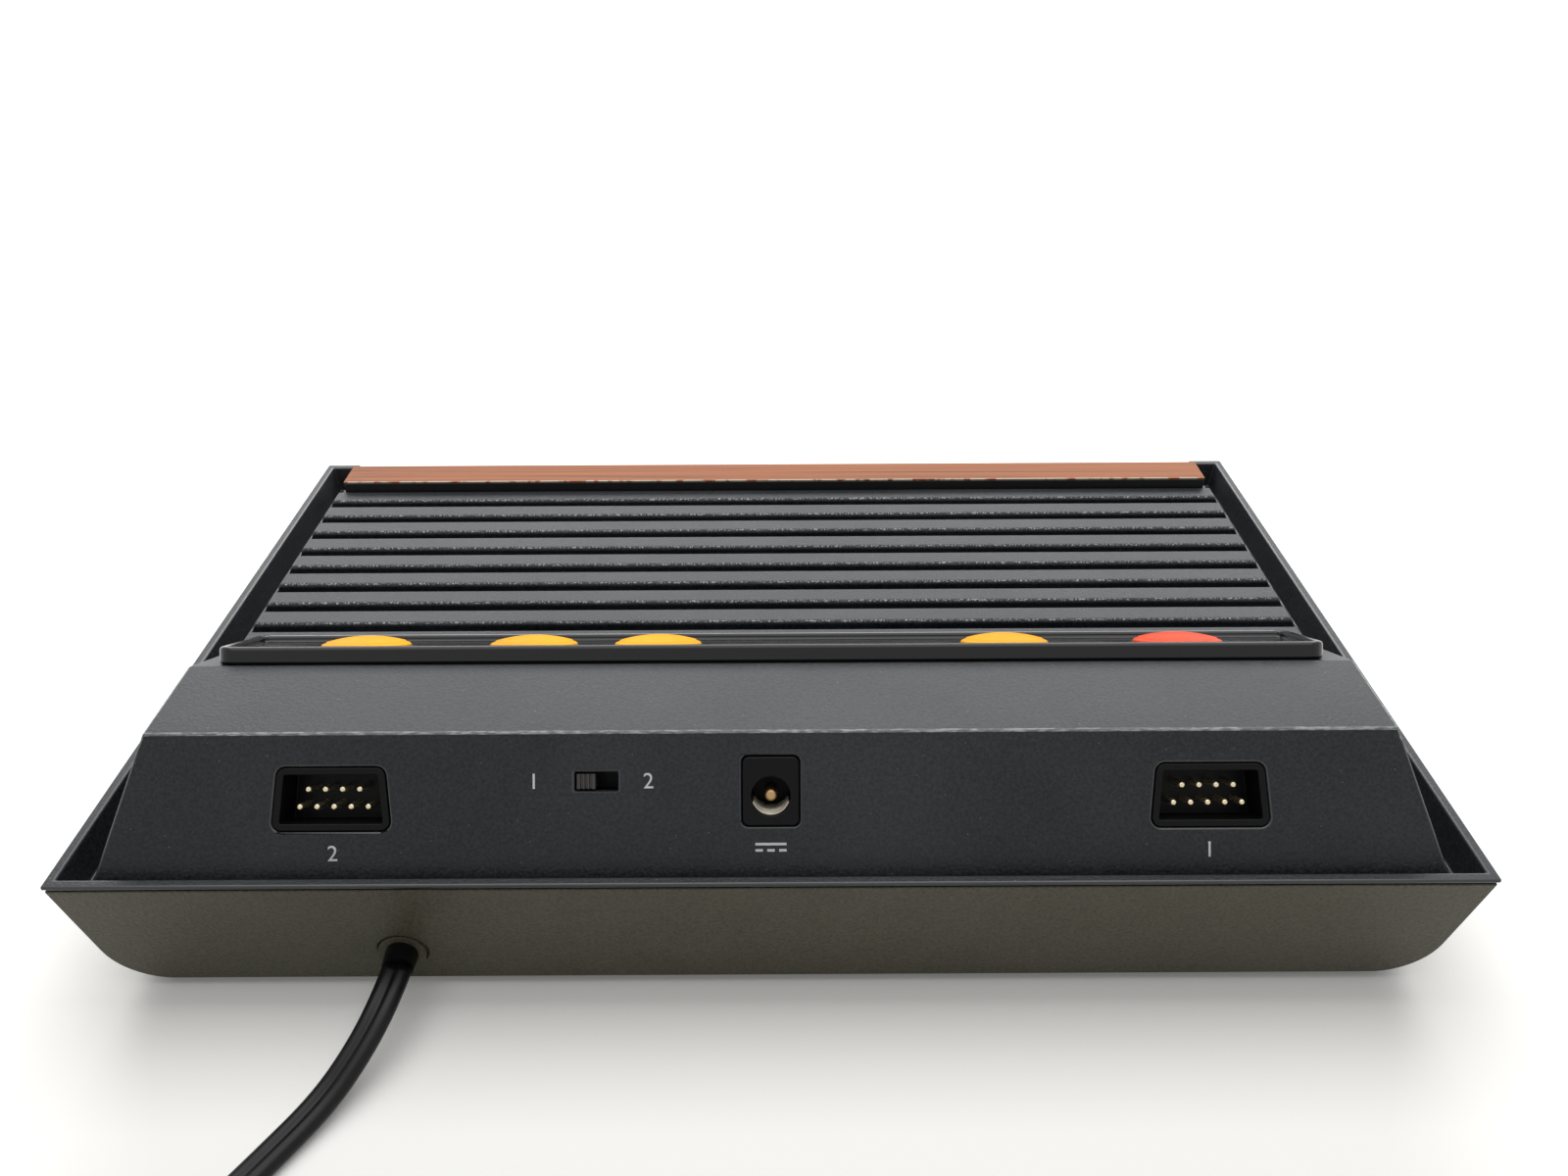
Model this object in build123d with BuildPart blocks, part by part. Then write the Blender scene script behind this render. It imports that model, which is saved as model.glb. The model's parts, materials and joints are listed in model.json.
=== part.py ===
from build123d import *
from math import cos, pi, radians, sin, tan
import os

os.makedirs("parts", exist_ok=True)

# Small game console, seen from its rear: a drafted tub, a rimmed upper case with a ribbed deck and a
# hood, a control bezel with push buttons on the hood's slope, and the sockets on the hood's rear panel.
# Millimetres. +X is the console's long side, +Y its rear, +Z up. The floor is Z = 0.

# Case
case_width = 230.0
case_depth = 150.0
rim_height = 28.0
foot_height = 2.0
foot_diameter = 12.0
foot_x = 84.0
foot_y = 50.0
case_wall = 2.2
side_draft = 10.0
bilge_radius = 10.0
rim_lip = 0.8
shadow_gap = 0.4
rebate_wall = 0.7
spigot_wall = 0.9
spigot_fit = 0.1
channel_depth = 6.0
channel_floor = 1.5
seat_fit = 0.3

# Pod: the raised middle of the upper case
pod_width = 215.8
pod_side_slope = 0.397
panel_foot = 4.8
panel_skirt = 2.6
panel_lean = 32.2
hood_height = 17.8
hood_top = 18.8
hood_slope = 29.5
rib_pitch = 7.8
rib_land = 5.4
rib_height = 2.5
rib_round = 0.9
rib_start = 67.4
rib_root = 1.2

# Front trim
front_step = 9.0
trim_width = 213.0
trim_setback = 14.6
trim_land = 8.6
trim_top = 2.0
trim_drop = 9.7
film_thickness = 0.35

# Control bezel and buttons, measured on the hood's slope
bezel_gap = 1.0
bezel_length = 28.5
bezel_rear_width = 193.0
bezel_front_width = 202.0
bezel_height = 3.2
bezel_corner = 3.0
bezel_border = 1.8
bezel_recess = 1.3
button_diameter = 16.0
button_fit = 0.3
button_edge = 0.8
button_crown = 1.3
button_round = 0.5
button_travel = 1.5
button_flange = 1.5
flange_height = 1.2
flange_fit = 0.4
stem_diameter = 5.0
stem_length = 4.0
button_places = {
    "power_button": 75.0,
    "level_button_one": 44.0,
    "level_button_two": 21.0,
    "select_button": -43.0,
    "start_button": -75.0,
}
key_size = 6.0
key_height = 3.1
key_plunger_diameter = 3.4
key_plunger_fit = 0.2
key_plunger_length = 3.0
key_clear = 0.4
board_thickness = 1.6
button_board_width = 176.0
button_board_depth = 24.0
board_post_diameter = 5.0
button_post_x = (-59.0, 0.0, 59.5)

# Sockets and switch on the rear panel, measured up the panel from the rim's level
port_x = 70.6
port_up = 10.4
port_wide = 19.4
port_narrow = 17.4
port_high = 10.4
port_corner = 1.6
port_fit = 0.15
port_wall = 1.1
port_depth = 6.5
pin_diameter = 1.0
pin_pitch = 2.77
pin_rows = 2.84
pin_recess = 1.4
pin_tip = 0.3
lower_pins = 5
upper_pins = 4
flange_width = 24.0
flange_high = 14.0
flange_thick = 1.5
rear_board_depth = 9.5
rear_board_width = 168.0
rear_board_low = 2.0
rear_board_high = 18.5
rear_post_x = 48.0
jack_x = 0.0
jack_up = 11.4
jack_wide = 9.0
jack_high = 11.0
jack_corner = 1.0
jack_proud = 0.3
jack_bore = 6.3
jack_bore_drop = 0.8
jack_bore_depth = 8.5
jack_pin_diameter = 2.0
jack_pin_length = 7.6
jack_pin_tip = 0.6
jack_spring_gap = 0.25
jack_spring_thick = 0.3
jack_spring_wide = 1.6
jack_spring_length = 6.0
slide_x = 28.0
slide_up = 13.0
slot_wide = 7.0
slot_high = 3.1
knob_wide = 3.0
knob_fit = 0.3
knob_recess = 0.4
knob_ridges = 4
knob_ridge_depth = 0.35
slide_body_wide = 12.0
slide_body_high = 6.0
slide_well_deep = 3.2

# Boards and what they carry
board_height = 8.0
main_board_width = 150.0
main_board_depth = 80.0
main_board_y = -8.0
post_diameter = 6.0
board_hole_inset = 5.0
board_screw_diameter = 2.4
board_screw_head = 5.0
board_screw_head_height = 1.6
board_screw_bite = 3.0
chip_size = 20.0
chip_height = 2.2
capacitor_diameter = 8.0
capacitor_height = 10.0
capacitor_insets = (20.0, 33.0)
regulator_width = 10.0
regulator_length = 15.0
regulator_height = 4.5
regulator_inset = 25.0
ribbon_width = 26.0
ribbon_thick = 0.8
ribbon_bend = 3.0
ribbon_x = 32.0
ribbon_clear = 1.0
rear_ribbon_reach = 14.0
rear_ribbon_rise = 5.0
rear_ribbon_lap = 9.0
button_ribbon_fall = 6.0
button_ribbon_rise = 3.0
button_ribbon_land = 13.0
button_ribbon_end = 21.0

# Case screws
case_screw_x = 94.0
case_screw_y = 46.0
case_boss_diameter = 7.0
case_post_diameter = 9.0
case_post_top = 14.0
case_screw_diameter = 2.9
case_screw_fit = 0.1
case_head_diameter = 6.0
case_head_height = 2.2
case_head_fit = 0.4
case_head_seat = 6.0
case_screw_end = 21.5

# Cord, put away in a coil, with two phono plugs
cord_diameter = 5.0
cord_arc_share = 0.45
cord_exit_x = 61.5
cord_exit_height = 10.0
grommet_diameter = 8.0
grommet_nose = 6.2
grommet_nose_length = 3.0
grommet_flange = 10.8
grommet_flange_thick = 1.8
grommet_fit = 0.1
coil_radius = 38.5
coil_step = 5.5
coil_lift = 1.2
coil_half_turns = 8
tie_width = 4.0
tie_thick = 0.8
tie_slack = 0.4
tie_corner = 2.5
sleeve_diameter = 7.2
sleeve_length = 12.0
sleeve_round = 0.8
lead_diameter = 2.6
lead_spacing = 3.4
grip_diameter = 10.0
grip_length = 26.0
grip_tail_diameter = 6.0
grip_taper = 7.0
shell_diameter = 8.4
shell_bore = 6.6
shell_length = 8.0
tip_diameter = 3.2
tip_length = 15.0

# Derived places
rear = case_depth / 2
rim_land = rebate_wall + spigot_fit + spigot_wall
channel_z = rim_height - channel_depth
frame_bottom = channel_z - channel_floor
lower_top = rim_height - rim_lip - shadow_gap
floor_top = foot_height + case_wall
deck_z = rim_height - rib_height
hood_z = rim_height + hood_height
panel_top_y = rear - panel_foot - hood_height * tan(radians(panel_lean))
hood_front_y = panel_top_y - hood_top
slope_foot_y = hood_front_y - (hood_height + rib_height) / tan(radians(hood_slope))
deck_front_y = front_step - rear
trim_rear_y = trim_setback - rear
rib_count = int((rear - rib_start - trim_rear_y + rib_pitch - rib_land) / rib_pitch)
notch_z = rim_height - trim_drop - seat_fit
main_board_top = board_height + board_thickness

slope_plane = Plane(
    origin=(0, hood_front_y, hood_z),
    x_dir=(1, 0, 0),
    z_dir=(0, -sin(radians(hood_slope)), cos(radians(hood_slope))),
)
panel_plane = Plane(
    origin=(0, rear - panel_foot, rim_height),
    x_dir=(-1, 0, 0),
    z_dir=(0, cos(radians(panel_lean)), sin(radians(panel_lean))),
)
button_row = -(bezel_gap + bezel_length / 2)
recess_z = bezel_height - bezel_recess
flange_top = -case_wall - flange_fit
stem_bottom = flange_top - flange_height - stem_length
key_top = stem_bottom - button_travel - key_clear
button_board_top = key_top - key_height


def half_width(z, inset):
    return case_width / 2 - (rim_height - z) * tan(radians(side_draft)) - inset


def half_depth(z, inset):
    return case_depth / 2 - (rim_height - z) * tan(radians(side_draft)) - inset


# A block between two heights, with the case's draft, set in from its outer face
def drafted_block(low, high, inset, bilge):
    with BuildPart() as block:
        for z in (low, high):
            with BuildSketch(Plane.XY.offset(z)):
                Rectangle(2 * half_width(z, inset), 2 * half_depth(z, inset))
        loft(ruled=True)
        if bilge:
            fillet(block.edges().filter_by(Axis.Y).group_by(Axis.Z)[0], bilge)
    return block.part


# The pod's solid between its sloping sides, set in by a wall, with or without the deck's ribs
def pod_form(inset, bottom, ribs):
    skirt_drop = (panel_foot - panel_skirt) / tan(radians(panel_lean))
    with BuildPart() as form:
        with BuildSketch(Plane.YZ):
            Polygon(
                (rear - panel_skirt, bottom),
                (rear - panel_skirt, rim_height - skirt_drop),
                (panel_top_y, hood_z),
                (hood_front_y, hood_z),
                (slope_foot_y, deck_z),
                (deck_front_y, deck_z),
                (deck_front_y, bottom),
                align=None,
            )
            offset(amount=-inset, kind=Kind.INTERSECTION)
            if ribs:
                first = rear - rib_start - rib_land / 2
                for rib in range(rib_count):
                    with Locations((first - rib * rib_pitch, deck_z + (rib_height - rib_root) / 2)):
                        RectangleRounded(rib_land, rib_height + rib_root, rib_round)
        extrude(amount=case_width, both=True)
        with BuildSketch(Plane.XZ):
            low = pod_width / 2 + (rim_height - bottom) * pod_side_slope
            high = pod_width / 2 - hood_height * pod_side_slope
            Polygon((-low, bottom), (low, bottom), (high, hood_z), (-high, hood_z), align=None)
            offset(amount=-inset, kind=Kind.INTERSECTION)
        extrude(amount=case_depth, both=True, mode=Mode.INTERSECT)
    return form.part


# The nine-pin socket's outline, wider below, grown or shrunk all round
def port_outline(grow):
    with BuildSketch() as outline:
        Polygon(
            (-port_wide / 2, -port_high / 2),
            (port_wide / 2, -port_high / 2),
            (port_narrow / 2, port_high / 2),
            (-port_narrow / 2, port_high / 2),
            align=None,
        )
        fillet(outline.vertices(), port_corner)
        if grow:
            offset(amount=grow)
    return outline.sketch


# The bezel's outline on the slope, narrower towards the rear
def bezel_outline(inset):
    with BuildSketch() as outline:
        Polygon(
            (-bezel_rear_width / 2, -bezel_gap),
            (-bezel_front_width / 2, -bezel_gap - bezel_length),
            (bezel_front_width / 2, -bezel_gap - bezel_length),
            (bezel_rear_width / 2, -bezel_gap),
            align=None,
        )
        fillet(outline.vertices(), bezel_corner)
        if inset:
            offset(amount=-inset)
    return outline.sketch


def keep(builder, name):
    builder.part.label = name
    export_step(builder.part, f"parts/{name}.step")


screw_places = [(x, y) for x in (-case_screw_x, case_screw_x) for y in (-case_screw_y, case_screw_y)]
foot_places = [(x, y) for x in (-foot_x, foot_x) for y in (-foot_y, foot_y)]
regulator_x = main_board_width / 2 - regulator_inset
capacitor_x = [inset - main_board_width / 2 for inset in capacitor_insets] + [regulator_x]
board_hole_x = main_board_width / 2 - board_hole_inset
board_hole_y = main_board_depth / 2 - board_hole_inset
board_places = [
    (x, main_board_y + y) for x in (-board_hole_x, board_hole_x) for y in (-board_hole_y, board_hole_y)
]

# Lower case: a drafted tub with rounded side bottoms, a rebated top edge and a notch for the front trim
with BuildPart() as lower_case:
    add(drafted_block(foot_height, lower_top, 0, bilge_radius))
    add(drafted_block(floor_top, lower_top, case_wall, bilge_radius - case_wall), mode=Mode.SUBTRACT)
    add(drafted_block(frame_bottom - seat_fit, lower_top, rebate_wall, 0), mode=Mode.SUBTRACT)
    with BuildSketch(Plane.XY.offset(notch_z)):
        with Locations((0, deck_front_y - front_step)):
            Rectangle(trim_width + 2 * seat_fit, 2 * front_step)
    extrude(amount=rim_height, mode=Mode.SUBTRACT)
    with BuildSketch(Plane.XY.offset(floor_top)):
        with Locations(*screw_places):
            Circle(case_post_diameter / 2)
    extrude(amount=case_post_top - floor_top)
    with BuildSketch(Plane.XY.offset(floor_top)):
        with Locations(*board_places):
            Circle(post_diameter / 2)
    extrude(amount=board_height - floor_top)
    with BuildSketch(Plane.XY.offset(foot_height)):
        with Locations(*screw_places):
            Circle(case_head_diameter / 2 + case_head_fit)
    extrude(amount=case_head_seat - foot_height, mode=Mode.SUBTRACT)
    with BuildSketch(Plane.XY.offset(foot_height)):
        with Locations(*screw_places):
            Circle(case_screw_diameter / 2 + case_screw_fit)
    extrude(amount=case_post_top, mode=Mode.SUBTRACT)
    with BuildSketch(Plane.XY.offset(board_height)):
        with Locations(*board_places):
            Circle(board_screw_diameter / 2 + case_screw_fit)
    extrude(amount=-board_screw_bite, mode=Mode.SUBTRACT)
    with BuildSketch(Plane.XZ.offset(-rear)):
        with Locations((cord_exit_x, cord_exit_height)):
            Circle(grommet_diameter / 2 + grommet_fit)
    extrude(amount=rear / 2, mode=Mode.SUBTRACT)
keep(lower_case, "lower_case")

# Upper case: rim, channel, pod with hood and ribbed deck, its bosses and its cut-outs
with BuildPart() as upper_case:
    with BuildSketch(Plane.XY.offset(rim_height - rim_lip)):
        Rectangle(case_width, case_depth)
    extrude(amount=rim_lip)
    add(drafted_block(frame_bottom, rim_height - rim_lip, rebate_wall + spigot_fit, 0))
    add(drafted_block(channel_z, rim_height + rim_lip, rim_land, 0), mode=Mode.SUBTRACT)
    add(pod_form(0, frame_bottom, True))
    add(pod_form(case_wall, foot_height, False), mode=Mode.SUBTRACT)
    with BuildSketch(Plane.XY):
        with Locations((0, deck_front_y - front_step)):
            Rectangle(trim_width + 2 * seat_fit, 2 * front_step)
    extrude(amount=2 * rim_height, mode=Mode.SUBTRACT)
    with BuildSketch(Plane.XY.offset(case_post_top + seat_fit)):
        with Locations(*[place for place in screw_places if place[1] > 0]):
            Circle(case_boss_diameter / 2)
    extrude(amount=hood_z - case_wall / 2 - case_post_top - seat_fit)
    with BuildSketch(Plane.XY.offset(case_post_top + seat_fit)):
        with Locations(*[place for place in screw_places if place[1] < 0]):
            Circle(case_boss_diameter / 2)
    extrude(amount=deck_z - case_wall / 2 - case_post_top - seat_fit)
    with BuildSketch(Plane.XY.offset(case_post_top)):
        with Locations(*screw_places):
            Circle(case_screw_diameter / 2 + case_screw_fit)
    extrude(amount=case_screw_end - case_post_top, mode=Mode.SUBTRACT)
    with BuildSketch(slope_plane.offset(-case_wall / 2)):
        with Locations(*[(x, button_row) for x in button_post_x]):
            Circle(board_post_diameter / 2)
    extrude(amount=button_board_top + case_wall / 2)
    with BuildSketch(slope_plane.offset(button_board_top)):
        with Locations(*[(x, button_row) for x in button_post_x]):
            Circle(board_screw_diameter / 2 + case_screw_fit)
    extrude(amount=board_screw_bite, mode=Mode.SUBTRACT)
    with BuildSketch(panel_plane.offset(-case_wall / 2)):
        with Locations((-rear_post_x, port_up), (rear_post_x, port_up)):
            Circle(board_post_diameter / 2)
    extrude(amount=case_wall / 2 - rear_board_depth)
    with BuildSketch(panel_plane.offset(-rear_board_depth)):
        with Locations((-rear_post_x, port_up), (rear_post_x, port_up)):
            Circle(board_screw_diameter / 2 + case_screw_fit)
    extrude(amount=board_screw_bite, mode=Mode.SUBTRACT)
    with BuildSketch(slope_plane):
        with Locations(*[(x, button_row) for x in button_places.values()]):
            Circle(button_diameter / 2 + 2 * button_fit)
    extrude(amount=-case_wall - seat_fit, mode=Mode.SUBTRACT)
    with BuildSketch(panel_plane.offset(seat_fit)):
        with Locations((-port_x, port_up), (port_x, port_up)):
            add(port_outline(0))
        with Locations((-jack_x, jack_up)):
            RectangleRounded(jack_wide + 2 * port_fit, jack_high + 2 * port_fit, jack_corner)
        with Locations((-slide_x, slide_up)):
            Rectangle(slot_wide, slot_high)
    extrude(amount=-case_wall - 2 * seat_fit, mode=Mode.SUBTRACT)
keep(upper_case, "upper_case")

# Front trim: a dark bar across the front with a wood-grain film on its top and front
trim_edge_y = trim_rear_y - trim_land
trim_foot_z = rim_height - trim_drop
trim_foot_y = -half_depth(trim_foot_z, 0)
trim_top_z = rim_height + trim_top
with BuildPart() as front_trim_bar:
    with BuildSketch(Plane.YZ):
        Polygon(
            (trim_rear_y, deck_z),
            (trim_rear_y, trim_top_z),
            (trim_edge_y, trim_top_z),
            (trim_foot_y, trim_foot_z),
            (deck_front_y - seat_fit, trim_foot_z),
            (deck_front_y - seat_fit, deck_z),
            align=None,
        )
    extrude(amount=trim_width / 2, both=True)
keep(front_trim_bar, "front_trim_bar")

with BuildPart() as wood_film:
    with BuildSketch(Plane.YZ):
        Polygon(
            (trim_rear_y, trim_top_z),
            (trim_rear_y, trim_top_z + film_thickness),
            (trim_edge_y - film_thickness, trim_top_z + film_thickness),
            (trim_foot_y - film_thickness, trim_foot_z),
            (trim_foot_y, trim_foot_z),
            (trim_edge_y, trim_top_z),
            align=None,
        )
    extrude(amount=trim_width / 2, both=True)
keep(wood_film, "wood_film")

# Control bezel: a shallow tray on the hood's slope, with a hole for each button
with BuildPart() as control_bezel:
    with BuildSketch(slope_plane):
        add(bezel_outline(0))
    extrude(amount=bezel_height)
    with BuildSketch(slope_plane.offset(bezel_height)):
        add(bezel_outline(bezel_border))
    extrude(amount=-bezel_recess, mode=Mode.SUBTRACT)
    with BuildSketch(slope_plane):
        with Locations(*[(x, button_row) for x in button_places.values()]):
            Circle(button_diameter / 2 + button_fit)
    extrude(amount=bezel_height, mode=Mode.SUBTRACT)
keep(control_bezel, "control_bezel")

# Buttons: a domed cap with a retaining flange and a stem, and the key plunger under it
cap_radius = button_diameter / 2
edge_z = recess_z + button_edge
crown_z = edge_z + button_crown
flange_bottom = flange_top - flange_height
for name, x in button_places.items():
    foot = slope_plane.from_local_coords((x, button_row, 0))
    with BuildPart() as button:
        with BuildSketch(Plane(origin=foot, x_dir=(1, 0, 0), z_dir=-slope_plane.y_dir)) as profile:
            with BuildLine():
                Polyline(
                    (0, crown_z),
                    (0, stem_bottom),
                    (stem_diameter / 2, stem_bottom),
                    (stem_diameter / 2, flange_bottom),
                    (cap_radius + button_flange, flange_bottom),
                    (cap_radius + button_flange, flange_top),
                    (cap_radius, flange_top),
                    (cap_radius, edge_z),
                )
                TangentArc((0, crown_z), (cap_radius, edge_z), tangent=(1, 0))
            make_face()
            fillet(profile.vertices().sort_by_distance((cap_radius, edge_z))[0], button_round)
        revolve(axis=Axis(foot, slope_plane.z_dir))
    keep(button, name)
    with BuildPart() as plunger:
        with BuildSketch(slope_plane.offset(stem_bottom)):
            with Locations((x, button_row)):
                Circle(key_plunger_diameter / 2)
        extrude(amount=-key_plunger_length)
    keep(plunger, f"{name}_plunger")

# Key bodies under the buttons, on the board that follows the slope
with BuildPart() as key_bodies:
    for x in button_places.values():
        with BuildSketch(slope_plane.offset(button_board_top)):
            with Locations((x, button_row)):
                RectangleRounded(key_size, key_size, key_clear)
                Circle(key_plunger_diameter / 2 + key_plunger_fit, mode=Mode.SUBTRACT)
        extrude(amount=key_height)
keep(key_bodies, "key_bodies")

with BuildPart() as button_board:
    with BuildSketch(slope_plane.offset(button_board_top)):
        with Locations((0, button_row)):
            Rectangle(button_board_width, button_board_depth)
        with Locations(*[(x, button_row) for x in button_post_x]):
            Circle(board_screw_diameter / 2 + case_screw_fit, mode=Mode.SUBTRACT)
    extrude(amount=-board_thickness)
keep(button_board, "button_board")

# Rear board and what stands on it behind the panel
with BuildPart() as rear_board:
    with BuildSketch(panel_plane.offset(-rear_board_depth)):
        with Locations((0, (rear_board_low + rear_board_high) / 2)):
            Rectangle(rear_board_width, rear_board_high - rear_board_low)
        with Locations((-rear_post_x, port_up), (rear_post_x, port_up)):
            Circle(board_screw_diameter / 2 + case_screw_fit, mode=Mode.SUBTRACT)
    extrude(amount=-board_thickness)
keep(rear_board, "rear_board")

panel_axis = Axis((0, 0, 0), panel_plane.z_dir)
for name, x in {"port_one": port_x, "port_two": -port_x}.items():
    with BuildPart() as housing:
        with BuildSketch(panel_plane):
            with Locations((-x, port_up)):
                add(port_outline(-port_fit))
        extrude(amount=-rear_board_depth)
        with BuildSketch(panel_plane.offset(-case_wall - seat_fit)):
            with Locations((-x, port_up)):
                Rectangle(flange_width, flange_high)
        extrude(amount=-flange_thick)
        with BuildSketch(panel_plane):
            with Locations((-x, port_up)):
                add(port_outline(-port_fit - port_wall))
        extrude(amount=-port_depth, mode=Mode.SUBTRACT)
    keep(housing, f"{name}_housing")
    with BuildPart() as pins:
        with BuildSketch(panel_plane.offset(-port_depth)):
            with Locations((-x, port_up - pin_rows / 2)):
                with GridLocations(pin_pitch, pin_pitch, lower_pins, 1):
                    Circle(pin_diameter / 2)
            with Locations((-x, port_up + pin_rows / 2)):
                with GridLocations(pin_pitch, pin_pitch, upper_pins, 1):
                    Circle(pin_diameter / 2)
        extrude(amount=port_depth - pin_recess)
        tips = pins.faces().sort_by(panel_axis)[-lower_pins - upper_pins :]
        fillet(tips.edges(), pin_tip)
    keep(pins, f"{name}_pins")

with BuildPart() as jack_body:
    with BuildSketch(panel_plane.offset(jack_proud)):
        with Locations((-jack_x, jack_up)):
            RectangleRounded(jack_wide, jack_high, jack_corner)
    extrude(amount=-rear_board_depth - jack_proud)
    with BuildSketch(panel_plane.offset(jack_proud)):
        with Locations((-jack_x, jack_up - jack_bore_drop)):
            Circle(jack_bore / 2)
    extrude(amount=-jack_bore_depth - jack_proud, mode=Mode.SUBTRACT)
keep(jack_body, "jack_body")

with BuildPart() as jack_pin:
    with BuildSketch(panel_plane.offset(-jack_bore_depth)):
        with Locations((-jack_x, jack_up - jack_bore_drop)):
            Circle(jack_pin_diameter / 2)
    extrude(amount=jack_pin_length)
    fillet(jack_pin.faces().sort_by(panel_axis)[-1].edges(), jack_pin_tip)
keep(jack_pin, "jack_pin")

spring_down = jack_bore / 2 - jack_spring_gap - jack_spring_thick / 2
with BuildPart() as jack_spring:
    with BuildSketch(panel_plane.offset(-jack_bore_depth)):
        with Locations((-jack_x, jack_up - jack_bore_drop - spring_down)):
            Rectangle(jack_spring_wide, jack_spring_thick)
    extrude(amount=jack_spring_length)
keep(jack_spring, "jack_spring")

slide_front = case_wall + seat_fit
knob_x = slide_x + slot_wide / 2 - knob_fit - knob_wide / 2
with BuildPart() as slide_body:
    with BuildSketch(panel_plane.offset(-slide_front)):
        with Locations((-slide_x, slide_up)):
            Rectangle(slide_body_wide, slide_body_high)
    extrude(amount=slide_front - rear_board_depth)
    with BuildSketch(panel_plane.offset(-slide_front)):
        with Locations((-slide_x, slide_up)):
            Rectangle(slot_wide + 2 * knob_fit, slot_high + knob_fit)
    extrude(amount=-slide_well_deep, mode=Mode.SUBTRACT)
keep(slide_body, "slide_body")

ridge_pitch = knob_wide / knob_ridges
with BuildPart() as slide_knob:
    with BuildSketch(panel_plane.offset(-knob_recess)):
        with Locations((-knob_x, slide_up)):
            Rectangle(knob_wide, slot_high - 2 * knob_fit)
    extrude(amount=knob_recess + knob_fit - slide_front - slide_well_deep)
    with BuildSketch(panel_plane.offset(-knob_recess)):
        with Locations((-knob_x, slide_up)):
            with GridLocations(ridge_pitch, slot_high, knob_ridges - 1, 1):
                Rectangle(ridge_pitch / 2, slot_high)
    extrude(amount=-knob_ridge_depth, mode=Mode.SUBTRACT)
keep(slide_knob, "slide_knob")

# Main board and its larger parts
with BuildPart() as main_board:
    with BuildSketch(Plane.XY.offset(board_height)):
        with Locations((0, main_board_y)):
            Rectangle(main_board_width, main_board_depth)
        with Locations(*board_places):
            Circle(board_screw_diameter / 2 + case_screw_fit, mode=Mode.SUBTRACT)
    extrude(amount=board_thickness)
keep(main_board, "main_board")

with BuildPart() as processor:
    with BuildSketch(Plane.XY.offset(main_board_top)):
        with Locations((0, main_board_y - chip_size / 2)):
            Rectangle(chip_size, chip_size)
    extrude(amount=chip_height)
    chamfer(processor.faces().sort_by(Axis.Z)[-1].edges(), chip_height / 4)
keep(processor, "processor")

with BuildPart() as capacitors:
    with BuildSketch(Plane.XY.offset(main_board_top)):
        with Locations(*[(x, main_board_y - main_board_depth / 4) for x in capacitor_x]):
            Circle(capacitor_diameter / 2)
    extrude(amount=capacitor_height)
    fillet(capacitors.edges().group_by(Axis.Z)[-1], capacitor_diameter / 16)
keep(capacitors, "capacitors")

with BuildPart() as regulator:
    with BuildSketch(Plane.XY.offset(main_board_top)):
        with Locations((regulator_x, main_board_y + regulator_length / 2)):
            Rectangle(regulator_width, regulator_length)
    extrude(amount=regulator_height)
    with BuildSketch(Plane.XY.offset(main_board_top + regulator_height / 2)):
        with Locations((regulator_x, main_board_y + regulator_length)):
            Rectangle(regulator_width, regulator_length / 2)
    extrude(amount=regulator_height, mode=Mode.SUBTRACT)
keep(regulator, "regulator")

# Flat cables from the two upper boards down to the main board
cable_z = main_board_top + ribbon_thick / 2
board_edge_y = main_board_y + main_board_depth / 2
rear_face = -rear_board_depth - board_thickness - ribbon_thick / 2
slope_face = button_board_top - board_thickness - ribbon_thick / 2
rear_start = panel_plane.from_local_coords((0, rear_board_low + 2 * ribbon_bend, rear_face))
rear_turn = panel_plane.from_local_coords((0, rear_board_low - ribbon_clear, rear_face))
slope_start = slope_plane.from_local_coords((0, button_row - button_board_depth / 4, slope_face))
slope_turn = slope_plane.from_local_coords(
    (0, button_row - button_board_depth / 2 - ribbon_clear, slope_face)
)
cable_routes = {
    "rear_cable": (
        ribbon_x,
        (rear_start.Y, rear_start.Z),
        (rear_turn.Y, rear_turn.Z),
        (board_edge_y + rear_ribbon_reach, cable_z + rear_ribbon_rise),
        (board_edge_y - ribbon_clear, cable_z),
        (board_edge_y - rear_ribbon_lap, cable_z),
    ),
    "button_cable": (
        -ribbon_x,
        (slope_start.Y, slope_start.Z),
        (slope_turn.Y, slope_turn.Z),
        (slope_turn.Y - button_ribbon_fall, cable_z + button_ribbon_rise),
        (slope_turn.Y - button_ribbon_land, cable_z),
        (slope_turn.Y - button_ribbon_end, cable_z),
    ),
}
for name, (x, *route) in cable_routes.items():
    with BuildPart() as cable:
        with BuildSketch(Plane.YZ.offset(x - ribbon_width / 2)):
            with BuildLine():
                FilletPolyline(*route, radius=ribbon_bend)
            trace(line_width=ribbon_thick)
        extrude(amount=ribbon_width)
    keep(cable, name)


# A screw with its round head on the plane and its shank on the plane's far side
def screw(plane, head_diameter, head_height, shank_diameter, shank_length):
    with BuildPart() as one_screw:
        with BuildSketch(plane):
            Circle(head_diameter / 2)
        extrude(amount=head_height)
        with BuildSketch(plane):
            Circle(shank_diameter / 2)
        extrude(amount=-shank_length)
    return one_screw.part


with BuildPart() as case_screws:
    for x, y in screw_places:
        seat = Plane(origin=(x, y, case_head_seat), z_dir=(0, 0, -1))
        shank = case_screw_end - case_head_seat - seat_fit
        add(screw(seat, case_head_diameter, case_head_height, case_screw_diameter, shank))
keep(case_screws, "case_screws")

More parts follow.
